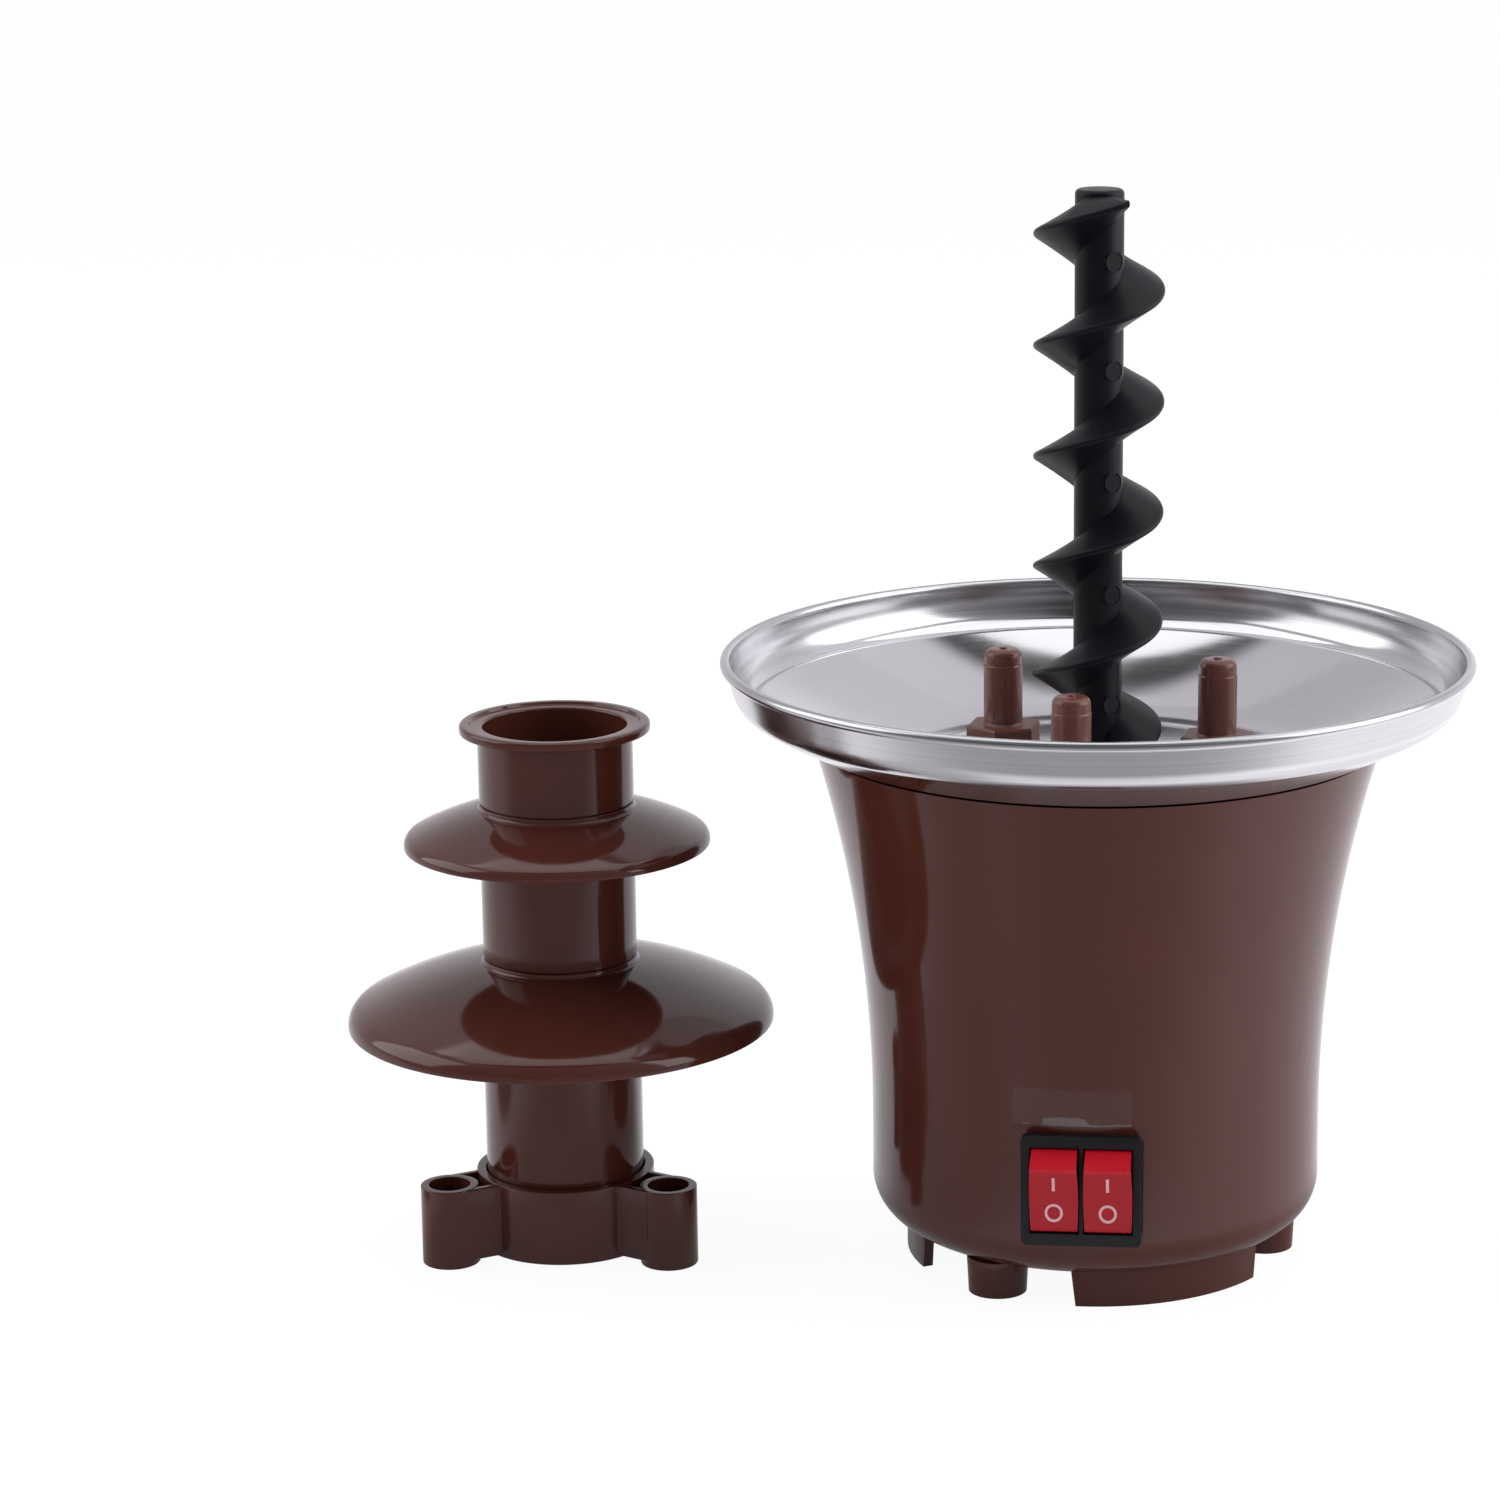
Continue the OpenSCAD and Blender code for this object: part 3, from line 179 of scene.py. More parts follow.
def polar(radius, degrees, centre=(0, 0)):
    t = math.radians(degrees)
    return np.array([centre[0] + radius * math.cos(t), centre[1] + radius * math.sin(t)])


def tilted(points, angle):
    """Points turned about the X axis: y cos a - z sin a and y sin a + z cos a."""
    c, s = math.cos(angle), math.sin(angle)
    out = points.copy()
    out[..., 1] = c * points[..., 1] - s * points[..., 2]
    out[..., 2] = s * points[..., 1] + c * points[..., 2]
    return out


def piece(name, parts, body, material, replaces=(), solid=True, smooth_angle=SHARP):
    """One object from several grids, on a body: doubles merged, faces outwards, smooth up to an angle."""
    verts, faces, start = [], [], 0
    for v, f in parts:
        verts.append(v * MM)
        faces.append(f + start)
        start += len(v)
    mesh = bpy.data.meshes.new(name)
    mesh.from_pydata(np.concatenate(verts).tolist(), [], np.concatenate(faces).tolist())
    tidy(mesh, solid)
    mesh.set_sharp_from_angle(angle=smooth_angle)
    obj = bpy.data.objects.new(name, mesh)
    bpy.context.scene.collection.objects.link(obj)
    mesh.materials.append(material)
    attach(obj, body)
    if replaces:
        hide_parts(*replaces)
    return obj


def tidy(mesh, solid):
    bm = bmesh.new()
    bm.from_mesh(mesh)
    bmesh.ops.remove_doubles(bm, verts=bm.verts, dist=1e-7)
    bmesh.ops.dissolve_degenerate(bm, edges=bm.edges, dist=1e-8)
    if solid:
        bmesh.ops.recalc_face_normals(bm, faces=bm.faces)
    for f in bm.faces:
        f.smooth = True
    bm.to_mesh(mesh)
    bm.free()


def dressed_copy(node, name, body, material, bevel=0.0):
    """A merged copy of a CAD node with smooth curves, and its edges rounded by a bevel."""
    mesh = frame["nodes"][node].data.copy()
    mesh.name = name
    mesh.materials.clear()
    mesh.materials.append(material)
    tidy(mesh, False)
    mesh.set_sharp_from_angle(angle=SHARP)
    obj = bpy.data.objects.new(name, mesh)
    bpy.context.scene.collection.objects.link(obj)
    if bevel:
        mod = obj.modifiers.new("edges", "BEVEL")
        mod.width = bevel * MM
        mod.segments = 2
        mod.limit_method = "ANGLE"
        mod.angle_limit = math.radians(40)
        mod.use_clamp_overlap = True
    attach(obj, body)
    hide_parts(node)
    return obj


# Finishes

def group(name, inputs, outputs):
    """A new shader node group with its sockets; returns the tree and its input and output nodes."""
    tree = bpy.data.node_groups.new(name, "ShaderNodeTree")
    for label, kind, default in inputs:
        socket = tree.interface.new_socket(label, in_out="INPUT", socket_type=kind)
        socket.default_value = default
    for label, kind in outputs:
        tree.interface.new_socket(label, in_out="OUTPUT", socket_type=kind)
    return tree, tree.nodes.new("NodeGroupInput"), tree.nodes.new("NodeGroupOutput")


def math_node(tree, operation, a, b=None):
    node = tree.nodes.new("ShaderNodeMath")
    node.operation = operation
    for socket, value in zip(node.inputs, (a, b)):
        if value is None:
            continue
        if isinstance(value, (int, float)):
            socket.default_value = value
        else:
            tree.links.new(value, socket)
    return node.outputs[0]


def noise(tree, vector, scale, detail=3.0, rough=0.5):
    node = tree.nodes.new("ShaderNodeTexNoise")
    node.inputs["Scale"].default_value = scale
    node.inputs["Detail"].default_value = detail
    node.inputs["Roughness"].default_value = rough
    tree.links.new(vector, node.inputs["Vector"])
    return node.outputs["Fac"]


def spread(tree, value, low, high):
    """Maps 0.25 to 0.75 onto low to high."""
    node = tree.nodes.new("ShaderNodeMapRange")
    for label, number in (("From Min", 0.25), ("From Max", 0.75), ("To Min", low), ("To Max", high)):
        node.inputs[label].default_value = number
    tree.links.new(value, node.inputs["Value"])
    return node.outputs[0]


def ramp(tree, value, span, ends):
    """Maps a span onto two ends, eased at both."""
    node = tree.nodes.new("ShaderNodeMapRange")
    node.interpolation_type = "SMOOTHSTEP"
    for label, number in zip(("From Min", "From Max", "To Min", "To Max"), span + ends):
        node.inputs[label].default_value = number
    tree.links.new(value, node.inputs["Value"])
    return node.outputs[0]


def scaled_colour(tree, base, factor):
    node = tree.nodes.new("ShaderNodeMix")
    node.data_type = "RGBA"
    node.blend_type = "MULTIPLY"
    node.inputs["Factor"].default_value = 1.0
    tree.links.new(base, node.inputs[6])
    tree.links.new(factor, node.inputs[7])
    return node.outputs[2]


def moulded_group():
    """Moulded plastic: faint clouds in the colour, smears in the gloss, and a fine orange-peel height."""
    tree, gin, gout = group(
        "moulded_skin",
        [("Vector", "NodeSocketVector", (0, 0, 0)), ("Colour", "NodeSocketColor", (1, 1, 1, 1)),
         ("Clouds", "NodeSocketFloat", 0.1), ("Gloss Low", "NodeSocketFloat", 0.1),
         ("Gloss High", "NodeSocketFloat", 0.2)],
        [("Colour", "NodeSocketColor"), ("Roughness", "NodeSocketFloat"), ("Height", "NodeSocketFloat")])
    v = gin.outputs["Vector"]
    clouds = spread(tree, noise(tree, v, 28.0), -1.0, 1.0)
    factor = math_node(tree, "ADD", math_node(tree, "MULTIPLY", clouds, gin.outputs["Clouds"]), 1.0)
    tree.links.new(scaled_colour(tree, gin.outputs["Colour"], factor), gout.inputs["Colour"])
    smear = spread(tree, noise(tree, v, 75.0, 5.0, 0.62), 0.0, 1.0)
    span = math_node(tree, "SUBTRACT", gin.outputs["Gloss High"], gin.outputs["Gloss Low"])
    rough = math_node(tree, "ADD", math_node(tree, "MULTIPLY", smear, span), gin.outputs["Gloss Low"])
    tree.links.new(rough, gout.inputs["Roughness"])
    peel = noise(tree, v, 260.0, 2.0)
    tree.links.new(peel, gout.inputs["Height"])
    return tree


def steel_and_sheen_group():
    """Drawn and polished sheet: rings about the bowl's axis, cloudy handling marks, and towards the rim
    brushed
    streaking with a painted sheen: painted highlight where the sheet faces down, painted shade where it faces
    up."""
    rim_span = (0.0745, 0.077)
    tree, gin, gout = group(
        "drawn_steel",
        [("Vector", "NodeSocketVector", (0, 0, 0)), ("Colour", "NodeSocketColor", (1, 1, 1, 1)),
         ("Rings", "NodeSocketFloat", 900.0)],
        [("Colour", "NodeSocketColor"), ("Roughness", "NodeSocketFloat"), ("Height", "NodeSocketFloat")])
    split = tree.nodes.new("ShaderNodeSeparateXYZ")
    tree.links.new(gin.outputs["Vector"], split.inputs[0])
    square = [math_node(tree, "MULTIPLY", split.outputs[k], split.outputs[k]) for k in (0, 1)]
    radius = math_node(tree, "SQRT", math_node(tree, "ADD", square[0], square[1]))
    rings = tree.nodes.new("ShaderNodeCombineXYZ")
    tree.links.new(math_node(tree, "MULTIPLY", radius, gin.outputs["Rings"]), rings.inputs[0])
    tree.links.new(math_node(tree, "MULTIPLY", split.outputs[2], gin.outputs["Rings"]), rings.inputs[1])
    lines = noise(tree, rings.outputs[0], 1.0, 4.0, 0.7)
    clouds = noise(tree, gin.outputs["Vector"], 60.0, 5.0, 0.6)
    rim = ramp(tree, radius, rim_span, (0.0, 1.0))
    faces = tree.nodes.new("ShaderNodeSeparateXYZ")
    tree.links.new(tree.nodes.new("ShaderNodeNewGeometry").outputs["Normal"], faces.inputs[0])
    # Painted sheen by facing: the colour is lighter where the sheet faces down and darker where it faces up,
    # a painted reflection of light from below.
    painted_sheen = ramp(tree, faces.outputs[2], (-0.45, 0.2), (0.34, -0.18))
    band = math_node(tree, "ADD", spread(tree, lines, -0.22, 0.10), painted_sheen)
    # Brushed lines and the painted sheen together, kept to the rim.
    streaks_and_sheen = math_node(tree, "MULTIPLY", band, rim)
    fine = math_node(tree, "ADD", spread(tree, lines, -0.02, 0.02), streaks_and_sheen)
    factor = math_node(tree, "ADD", spread(tree, clouds, 0.96, 1.02), fine)
    tree.links.new(scaled_colour(tree, gin.outputs["Colour"], factor), gout.inputs["Colour"])
    rough = math_node(tree, "ADD", spread(tree, clouds, 0.05, 0.11), spread(tree, lines, -0.02, 0.03))
    rough = math_node(tree, "ADD", rough, math_node(tree, "MULTIPLY", rim, 0.12))
    tree.links.new(rough, gout.inputs["Roughness"])
    tree.links.new(lines, gout.inputs["Height"])
    return tree


def finish(name, tree, colour_value, centre=(0, 0), bump=0.0, distance=0.1, metallic=0.0, ior=1.47, **values):
    """A material around a skin group, its pattern centred on a point in plan."""
    mat = bpy.data.materials.new(name)
    mat.use_nodes = True
    nodes, links = mat.node_tree.nodes, mat.node_tree.links
    shader = nodes["Principled BSDF"]
    where = nodes.new("ShaderNodeTexCoord")
    place = nodes.new("ShaderNodeMapping")
    place.inputs["Location"].default_value = (-centre[0] * MM, -centre[1] * MM, 0)
    links.new(where.outputs["Object"], place.inputs["Vector"])
    skin = nodes.new("ShaderNodeGroup")
    skin.node_tree = tree
    links.new(place.outputs["Vector"], skin.inputs["Vector"])
    skin.inputs["Colour"].default_value = colour_value
    for label, number in values.items():
        skin.inputs[label.replace("_", " ")].default_value = number
    links.new(skin.outputs["Colour"], shader.inputs["Base Color"])
    links.new(skin.outputs["Roughness"], shader.inputs["Roughness"])
    if bump:
        height = nodes.new("ShaderNodeBump")
        height.inputs["Strength"].default_value = bump
        height.inputs["Distance"].default_value = distance * MM
        links.new(skin.outputs["Height"], height.inputs["Height"])
        links.new(height.outputs["Normal"], shader.inputs["Normal"])
    shader.inputs["Metallic"].default_value = metallic
    shader.inputs["IOR"].default_value = ior
    return mat


FINISHES = {}


def finishes():
    """Every finish of the fountain, made once."""
    if FINISHES:
        return FINISHES
    skin, steel = moulded_group(), steel_and_sheen_group()

    def plastic(name, col, low, high, clouds=0.06, bump=0.05, **more):
        return finish(name, skin, col, bump=bump, Clouds=clouds, Gloss_Low=low, Gloss_High=high, **more)

    def metal(name, col, bump=0.2, **more):
        return finish(name, steel, col, centre=BASE, bump=bump, distance=0.02, metallic=1.0, **more)

    FINISHES.update(
        brown=plastic("brown_gloss", colour("brown"), 0.06, 0.13, bump=0.04),
        brown_satin=plastic("brown_satin", colour("brown"), 0.11, 0.18, bump=0.06),
        peg=plastic("peg_brown", (0.145, 0.047, 0.034, 1), 0.22, 0.36, clouds=0.1, bump=0.08),
        black=plastic("auger_black", colour("black"), 0.30, 0.44, clouds=0.25, bump=0.12, ior=1.25),
        case=plastic("switch_black", (0.0085, 0.0080, 0.0115, 1), 0.34, 0.5, clouds=0.15, bump=0.3, ior=1.36),
        # The red rockers get painted shade on the face and a painted glow at the end.
        red=painted_rocker_light(plastic("rocker_red", colour("red"), 0.26, 0.30, clouds=0.03, bump=0.06, ior=1.36)),
        mark=plastic("rocker_mark", colour("mark"), 0.4, 0.55, clouds=0.08, bump=0.1),
        rubber=plastic("gland_black", (0.02, 0.02, 0.021, 1), 0.5, 0.7, clouds=0.2, bump=0.3),
        silicone=plastic("seal_white", (0.72, 0.71, 0.69, 1), 0.45, 0.6, clouds=0.05, bump=0.1),
        pale=plastic("gear_white", (0.76, 0.74, 0.64, 1), 0.35, 0.5, clouds=0.05, bump=0.1),
        sensor=plastic("sensor_tan", (0.62, 0.54, 0.38, 1), 0.4, 0.55, clouds=0.08, bump=0.1),
        # The bowl's steel carries a painted sheen towards the rim: lighter where it faces down, darker where
        # it faces up.
        steel=metal("bowl_steel", colour("steel"), bump=0.05),
        plate=metal("plated_steel", (0.55, 0.56, 0.58, 1), Rings=300.0),
        brass=metal("bearing_brass", (0.60, 0.36, 0.12, 1), Rings=400.0),
        sheath=metal("element_sheath", (0.12, 0.12, 0.125, 1), Rings=200.0),
        film=clear_film("clear_film"),
    )
    return FINISHES


def painted_rocker_light(mat):
    """Translucent red with painted light: painted shade deepens the face, and a painted glow lightens the end
    that stands out of the case, where light shines through.
    """
    tree = mat.node_tree
    split = tree.nodes.new("ShaderNodeSeparateXYZ")
    tree.links.new(tree.nodes["Texture Coordinate"].outputs["Object"], split.inputs[0])
    # Painted shade and glow: the red is scaled from 0.66 on the face up to 1.02 at the end above it.
    depth = ramp(tree, split.outputs[2], ((SWITCH_Z + 4.8) * MM, (SWITCH_Z + 6.2) * MM), (0.66, 1.02))
    tree.links.new(scaled_colour(tree, tree.nodes["Group"].outputs["Colour"], depth),
                   tree.nodes["Principled BSDF"].inputs["Base Color"])
    return mat


def film_group():
    """Where the film has let go along its lower edge: 1 below a height h(x) that falls from left to right."""
    tree, gin, gout = group(
        "film_edge", [("Vector", "NodeSocketVector", (0, 0, 0))], [("Loose", "NodeSocketFloat")])
    split = tree.nodes.new("ShaderNodeSeparateXYZ")
    tree.links.new(gin.outputs["Vector"], split.inputs[0])
    start = ramp(tree, split.outputs[0], (-8.8 * MM, -7.6 * MM), (0.0, 1.0))
    fall = ramp(tree, split.outputs[0], (0.2 * MM, 1.6 * MM), (1.8 * MM, 0.5 * MM))
    height = math_node(tree, "MULTIPLY", start, fall)
    wobble = spread(tree, noise(tree, gin.outputs["Vector"], 420.0), -0.4 * MM, 0.4 * MM)
    above = math_node(tree, "SUBTRACT", split.outputs[2], math_node(tree, "ADD", height, wobble))
    tree.links.new(ramp(tree, above, (-0.12 * MM, 0.12 * MM), (1.0, 0.0)), gout.inputs["Loose"])
    return tree


def clear_film(name):
    """Clear sticker film: hardly there, a little milky where it has let go."""
    mat = finish(name, bpy.data.node_groups["moulded_skin"], (0.36, 0.30, 0.31, 1), bump=0.12, distance=0.2,
                 Clouds=0.2, Gloss_Low=0.12, Gloss_High=0.24)
    nodes, links = mat.node_tree.nodes, mat.node_tree.links
    place = nodes.new("ShaderNodeMapping")
    place.inputs["Location"].default_value = (-BASE[0] * MM, 0, -STICKER_Z[0] * MM)
    links.new(nodes["Texture Coordinate"].outputs["Object"], place.inputs["Vector"])
    edge = nodes.new("ShaderNodeGroup")
    edge.node_tree = film_group()
    links.new(place.outputs["Vector"], edge.inputs["Vector"])
    alpha = math_node(mat.node_tree, "MULTIPLY", edge.outputs["Loose"], 0.34)
    links.new(math_node(mat.node_tree, "ADD", alpha, 0.06), nodes["Principled BSDF"].inputs["Alpha"])
    return mat


# Pieces, in millimetres about their own axis

FLOOR_Z = 107.5
FLOOR_R = 36.0
FLOOR_BEND = 40.0
DISH_ANGLE = 22.0
WALL_FOOT = np.array([76.0, 122.6])
WALL_BEND = 6.0
LIP_SLOPE = math.tan(math.radians(25))
RIM_Z = 130.6
SHEET = 0.8
FLARE_Z = 32.0
ROUND = 10.0
LOW_Z = 7.4
OPEN_R = 42.5
SWITCH_Z = 28.85
HOLE_HALF = np.array([11.9, 10.45])
STICKER_Z = (42.3, 50.2)
TUBE_BORE = 15.3
TUBE_R = 16.5
LOW_TUBE_R = 17.0
LEDGE_Z = 4.0
HUB_R = 18.6
HUB_H = 8.0
LIP = 0.6
TIER_WALL = 1.8
SEAT_DEPTH = 6.0
NECK_H = 1.1
NECK_FILLET = 0.9
JOINT_GAP = 0.3
LAP_R = (TUBE_BORE + TUBE_R) / 2
LAP_SEAT = LAP_R + 0.06
PEG_CIRCLE = 27.2
PEG_ANGLES = {"right": 21.9, "left": 141.9, "front": 261.9}
SOCKET_ANGLES = (93.7, 213.7, 333.7)
LARGE = dict(r=45.8, z=51.2, shoulder=4.3, crown=94.0)
SMALL = dict(r=32.7, z=90.6, shoulder=2.3, crown=69.0)


def crown_centre(r, z, shoulder, crown):
    return z - math.sqrt((crown - shoulder) ** 2 - (r - shoulder) ** 2)


def crown_level(tier, at):
    """Height of a tier's crown at a distance from its axis."""
    return crown_centre(**tier) + math.sqrt(tier["crown"] ** 2 - at ** 2)


def side_radius(z):
    """Radius of the body's side at height z: straight, then an arc of flare_r that starts upright."""
    rise = np.maximum(np.asarray(z, float) - FLARE_Z, 0)
    flare = sizes("flare_r")
    return sizes("body_r") + flare - np.sqrt(flare ** 2 - rise ** 2)


class FOUNTAIN_OT_body(bpy.types.Operator):
    """Make the bell shaped body with its opening for the switch"""

    bl_idname = "fountain.body"
    bl_label = "Body"

    def execute(self, context):
        """The side is (r(z) cos a, r(z) sin a, z) over an arc at the foot, with a lip under the bowl; quads
        in the opening are left out, and Solidify gives it its wall."""
        hole_columns = 24
        r0 = sizes("body_r")
        foot = math.degrees(math.asin((OPEN_R - (r0 - ROUND)) / ROUND)) - 90
        lower = arc((r0 - ROUND, LOW_Z + ROUND), ROUND, foot, 0, 14)[:-1]
        cuts = [SWITCH_Z - HOLE_HALF[1], SWITCH_Z + HOLE_HALF[1]]
        z = np.unique(np.round(np.concatenate([np.linspace(LOW_Z + ROUND, BODY_TOP, 72), cuts]), 4))
        lip = np.array([[side_radius(BODY_TOP) - 2.0, BODY_TOP - 2.0 * LIP_SLOPE - 0.1]])
        outline = np.concatenate([lower, np.stack([side_radius(z), z], -1), lip])
        reach = math.degrees(math.asin(HOLE_HALF[0] / r0))
        a = np.radians(np.concatenate([np.linspace(-90 - reach, -90 + reach, hole_columns + 1),
                                       np.linspace(-90 + reach, 270 - reach, 232)[1:-1]]))[:, None]
        r, h = outline[None, :, 0], outline[None, :, 1]
        points = np.stack([BASE[0] + r * np.cos(a), BASE[1] + r * np.sin(a), h + 0 * a], -1)
        column = np.arange(points.shape[0])[:, None] < hole_columns
        middle = (outline[:-1, 1] + outline[1:, 1])[None] / 2
        opening = column & (middle > cuts[0]) & (middle < cuts[1])
        obj = piece("body", [grid(points, wrap_u=True, keep=~opening)], "base",
                    finishes()["brown"], ["body_shell"], smooth_angle=math.radians(60))
        wall = obj.modifiers.new("wall", "SOLIDIFY")
        wall.thickness = sizes("body_wall") * MM
        wall.offset = -1
        return {"FINISHED"}


class FOUNTAIN_OT_bowl(bpy.types.Operator):
    """Make the drawn steel bowl with its rolled rim"""

    bl_idname = "fountain.bowl"
    bl_label = "Bowl"

    def execute(self, context):
        """Closed outline of the sheet: flat floor, an arc up into the dish, the dish's wide arc, the wall,
        the rolled bead, and the same lines one sheet lower; turned about the base's axis."""
        bead = sizes("bead_r")
        bead_x = sizes("rim_r") - bead
        roll = arc((bead_x, RIM_Z), bead, 208, -98, 40)
        floor_centre = np.array([FLOOR_R, FLOOR_Z + FLOOR_BEND])
        slope = math.radians(DISH_ANGLE)
        foot = floor_centre + FLOOR_BEND * np.array([math.sin(slope), -math.cos(slope)])
        chord = WALL_FOOT - foot
        turn = 2 * (math.degrees(math.atan2(chord[1], chord[0])) - DISH_ANGLE)
        wide = np.linalg.norm(chord) / 2 / math.sin(math.radians(turn) / 2)
        centre = foot + wide * np.array([-math.sin(slope), math.cos(slope)])
        end = DISH_ANGLE + turn
        ahead = np.array([math.cos(math.radians(end)), math.sin(math.radians(end))])
        wall = np.array([bead_x - 0.8 * bead, RIM_Z]) - WALL_FOOT
        wall /= np.linalg.norm(wall)

        def face(inset):
            """The sheet's face, inset below the upper one."""
            side = np.array([[ahead[1], -ahead[0]], [wall[1], -wall[0]]]).sum(0)
            corner = WALL_FOOT + inset * side / (1 + ahead @ wall)
            length = (WALL_BEND + inset) * math.tan(math.acos(ahead @ wall) / 2)
            low = math.degrees(length / wide) * 1.02
            sides = [corner - 9 * ahead, corner, corner + 6 * wall]
            bend = rounded(sides, [0, WALL_BEND + inset, 0], 12)[1:-1]
            return np.concatenate([
                [[7.0, FLOOR_Z - inset]], arc(floor_centre, FLOOR_BEND + inset, -90, DISH_ANGLE - 90, 20),
                arc(centre, wide + inset, DISH_ANGLE - 90, end - low - 90, 24)[1:], bend])

        outline = np.concatenate([face(0.0), roll, face(SHEET)[::-1]])
        piece("bowl_sheet", [lathe(outline, BASE, 288)], "base", finishes()["steel"], ["bowl"],
              smooth_angle=math.radians(50))
        return {"FINISHED"}


class FOUNTAIN_OT_pegs(bpy.types.Operator):
    """Make the three pegs with their hexagon bases"""

    bl_idname = "fountain.pegs"
    bl_label = "Tower pegs"

    def execute(self, context):
        """Each peg is an outline (s, z) carried round: s on the round post, s / cos(a mod 60 - 30) on the
        hexagon."""
        flat, post, tip = 7.2, 4.2, 4.05
        base_top, top = FLOOR_Z + 4.5, FLOOR_Z + 21.1
        edge = sizes("edge")
        hexagon = np.array([[0.01, FLOOR_Z], [flat, FLOOR_Z],
                            [flat, base_top - edge], [flat - edge, base_top]])
        shaft = rounded([[post + 0.5, base_top], [post, base_top + 0.5], [post, top - 3.6], [tip, top - 3.3],
                         [tip, top], [0.9, top], [0.85, top + 0.35], [0.01, top + 0.35]],
                        [0, 0.3, 0.1, 0.1, 1.6, 0.1, 0.1, 0], 6)
        steps = 96
        a = np.linspace(0, 360, steps, endpoint=False)
        six = 1 / np.cos(np.radians((a % 60) - 30))
        for name, angle in PEG_ANGLES.items():
            centre = polar(PEG_CIRCLE, angle, BASE)
            outline = np.concatenate([hexagon, shaft])
            stretch = np.where(np.arange(len(outline))[None] < len(hexagon), six[:, None], 1.0)
            t = np.radians(a + angle)[:, None]
            r = outline[None, :, 0] * stretch
            z = outline[None, :, 1] + 0 * t
            points = np.stack([centre[0] + r * np.cos(t), centre[1] + r * np.sin(t), z], -1)
            piece("peg_" + name, [grid(points, wrap_u=True)], "base", finishes()["peg"],
                  ["tower_peg_" + name], smooth_angle=math.radians(25))
        return {"FINISHED"}


class FOUNTAIN_OT_auger(bpy.types.Operator):
    """Make the auger: core, helical flight and the moulding marks on the core"""

    bl_idname = "fountain.auger"
    bl_label = "Auger"

    core = 5.15
    root, edge, drop = 10.4, 1.6, 0.5
    margin = 1.75
    end_angle = 300.0
    mark_angle = -51.6
    mark_heights = (215.4, 192.7, 169.1, 145.1, 121.4)

    def execute(self, context):
        """Flight: a wedge (s, d) with a rounded edge carried up a helix, (s cos a, s sin a, z(a) + d), kept
        between the core's ends. Core: a lathe."""
        core = lathe(rounded([[0.01, AUGER_LOW], [self.core, AUGER_LOW], [self.core, AUGER_HIGH],
                              [0.01, AUGER_HIGH]], [0, 0.3, 1.0, 0]), BASE, 96, closed=False)
        low, high = AUGER_LOW + self.margin, AUGER_HIGH - self.margin
        turns = (high - low) / sizes("pitch")
        t = np.linspace(0, 1, int(turns * 120))[:, None]
        a = np.radians(self.end_angle - 360 * turns * (1 - t))
        z = low + (high - low) * t
        slope = math.degrees(math.atan((self.root - self.edge) / 2 / (sizes("flight_r") - self.core)))
        tip = arc((sizes("flight_r") - self.edge / 2, 0), self.edge / 2, slope - 90, 90 - slope, 8)
        inner = self.core - 0.4
        low_root, high_root = -self.root / 2 - self.drop, self.root / 2 - self.drop
        section = np.concatenate([[[inner, low_root]], tip, [[inner, high_root]]])
        s, d = section[None, :, 0], section[None, :, 1]
        level = np.clip(z + d, AUGER_LOW + 0.4, AUGER_HIGH - 1.0)
        points = np.stack([BASE[0] + s * np.cos(a), BASE[1] + s * np.sin(a), level], -1)
        first = np.repeat(points[:1].mean(1, keepdims=True), points.shape[1], 1)
        last = np.repeat(points[-1:].mean(1, keepdims=True), points.shape[1], 1)
        flight = grid(np.concatenate([first, points, last]), wrap_v=True)
        piece("auger_screw", [core, flight], "auger", finishes()["black"], ["auger"])
        self.marks()
        return {"FINISHED"}

    def marks(self):
        """Flat discs, each in a groove of the core's side: n (R + h(q)) + t q cos u, at height q sin u."""
        q = np.array([0.0, 1.0, 1.98, 2.04, 2.14, 2.2, 2.28, 2.3])[:, None]
        h = np.array([0.10, 0.10, 0.10, -0.25, -0.25, 0.07, 0.05, -0.8])[:, None]
        u = np.linspace(0, 2 * np.pi, 40, endpoint=False)[None]
        n = polar(1, self.mark_angle)
        parts = []
        out, across = self.core + h + 0 * u, q * np.cos(u)
        x = BASE[0] + n[0] * out - n[1] * across
        y = BASE[1] + n[1] * out + n[0] * across
        for height in self.mark_heights:
            parts.append(grid(np.stack([x, y, height + q * np.sin(u)], -1), wrap_v=True))
        piece("auger_marks", parts, "auger", finishes()["black"])


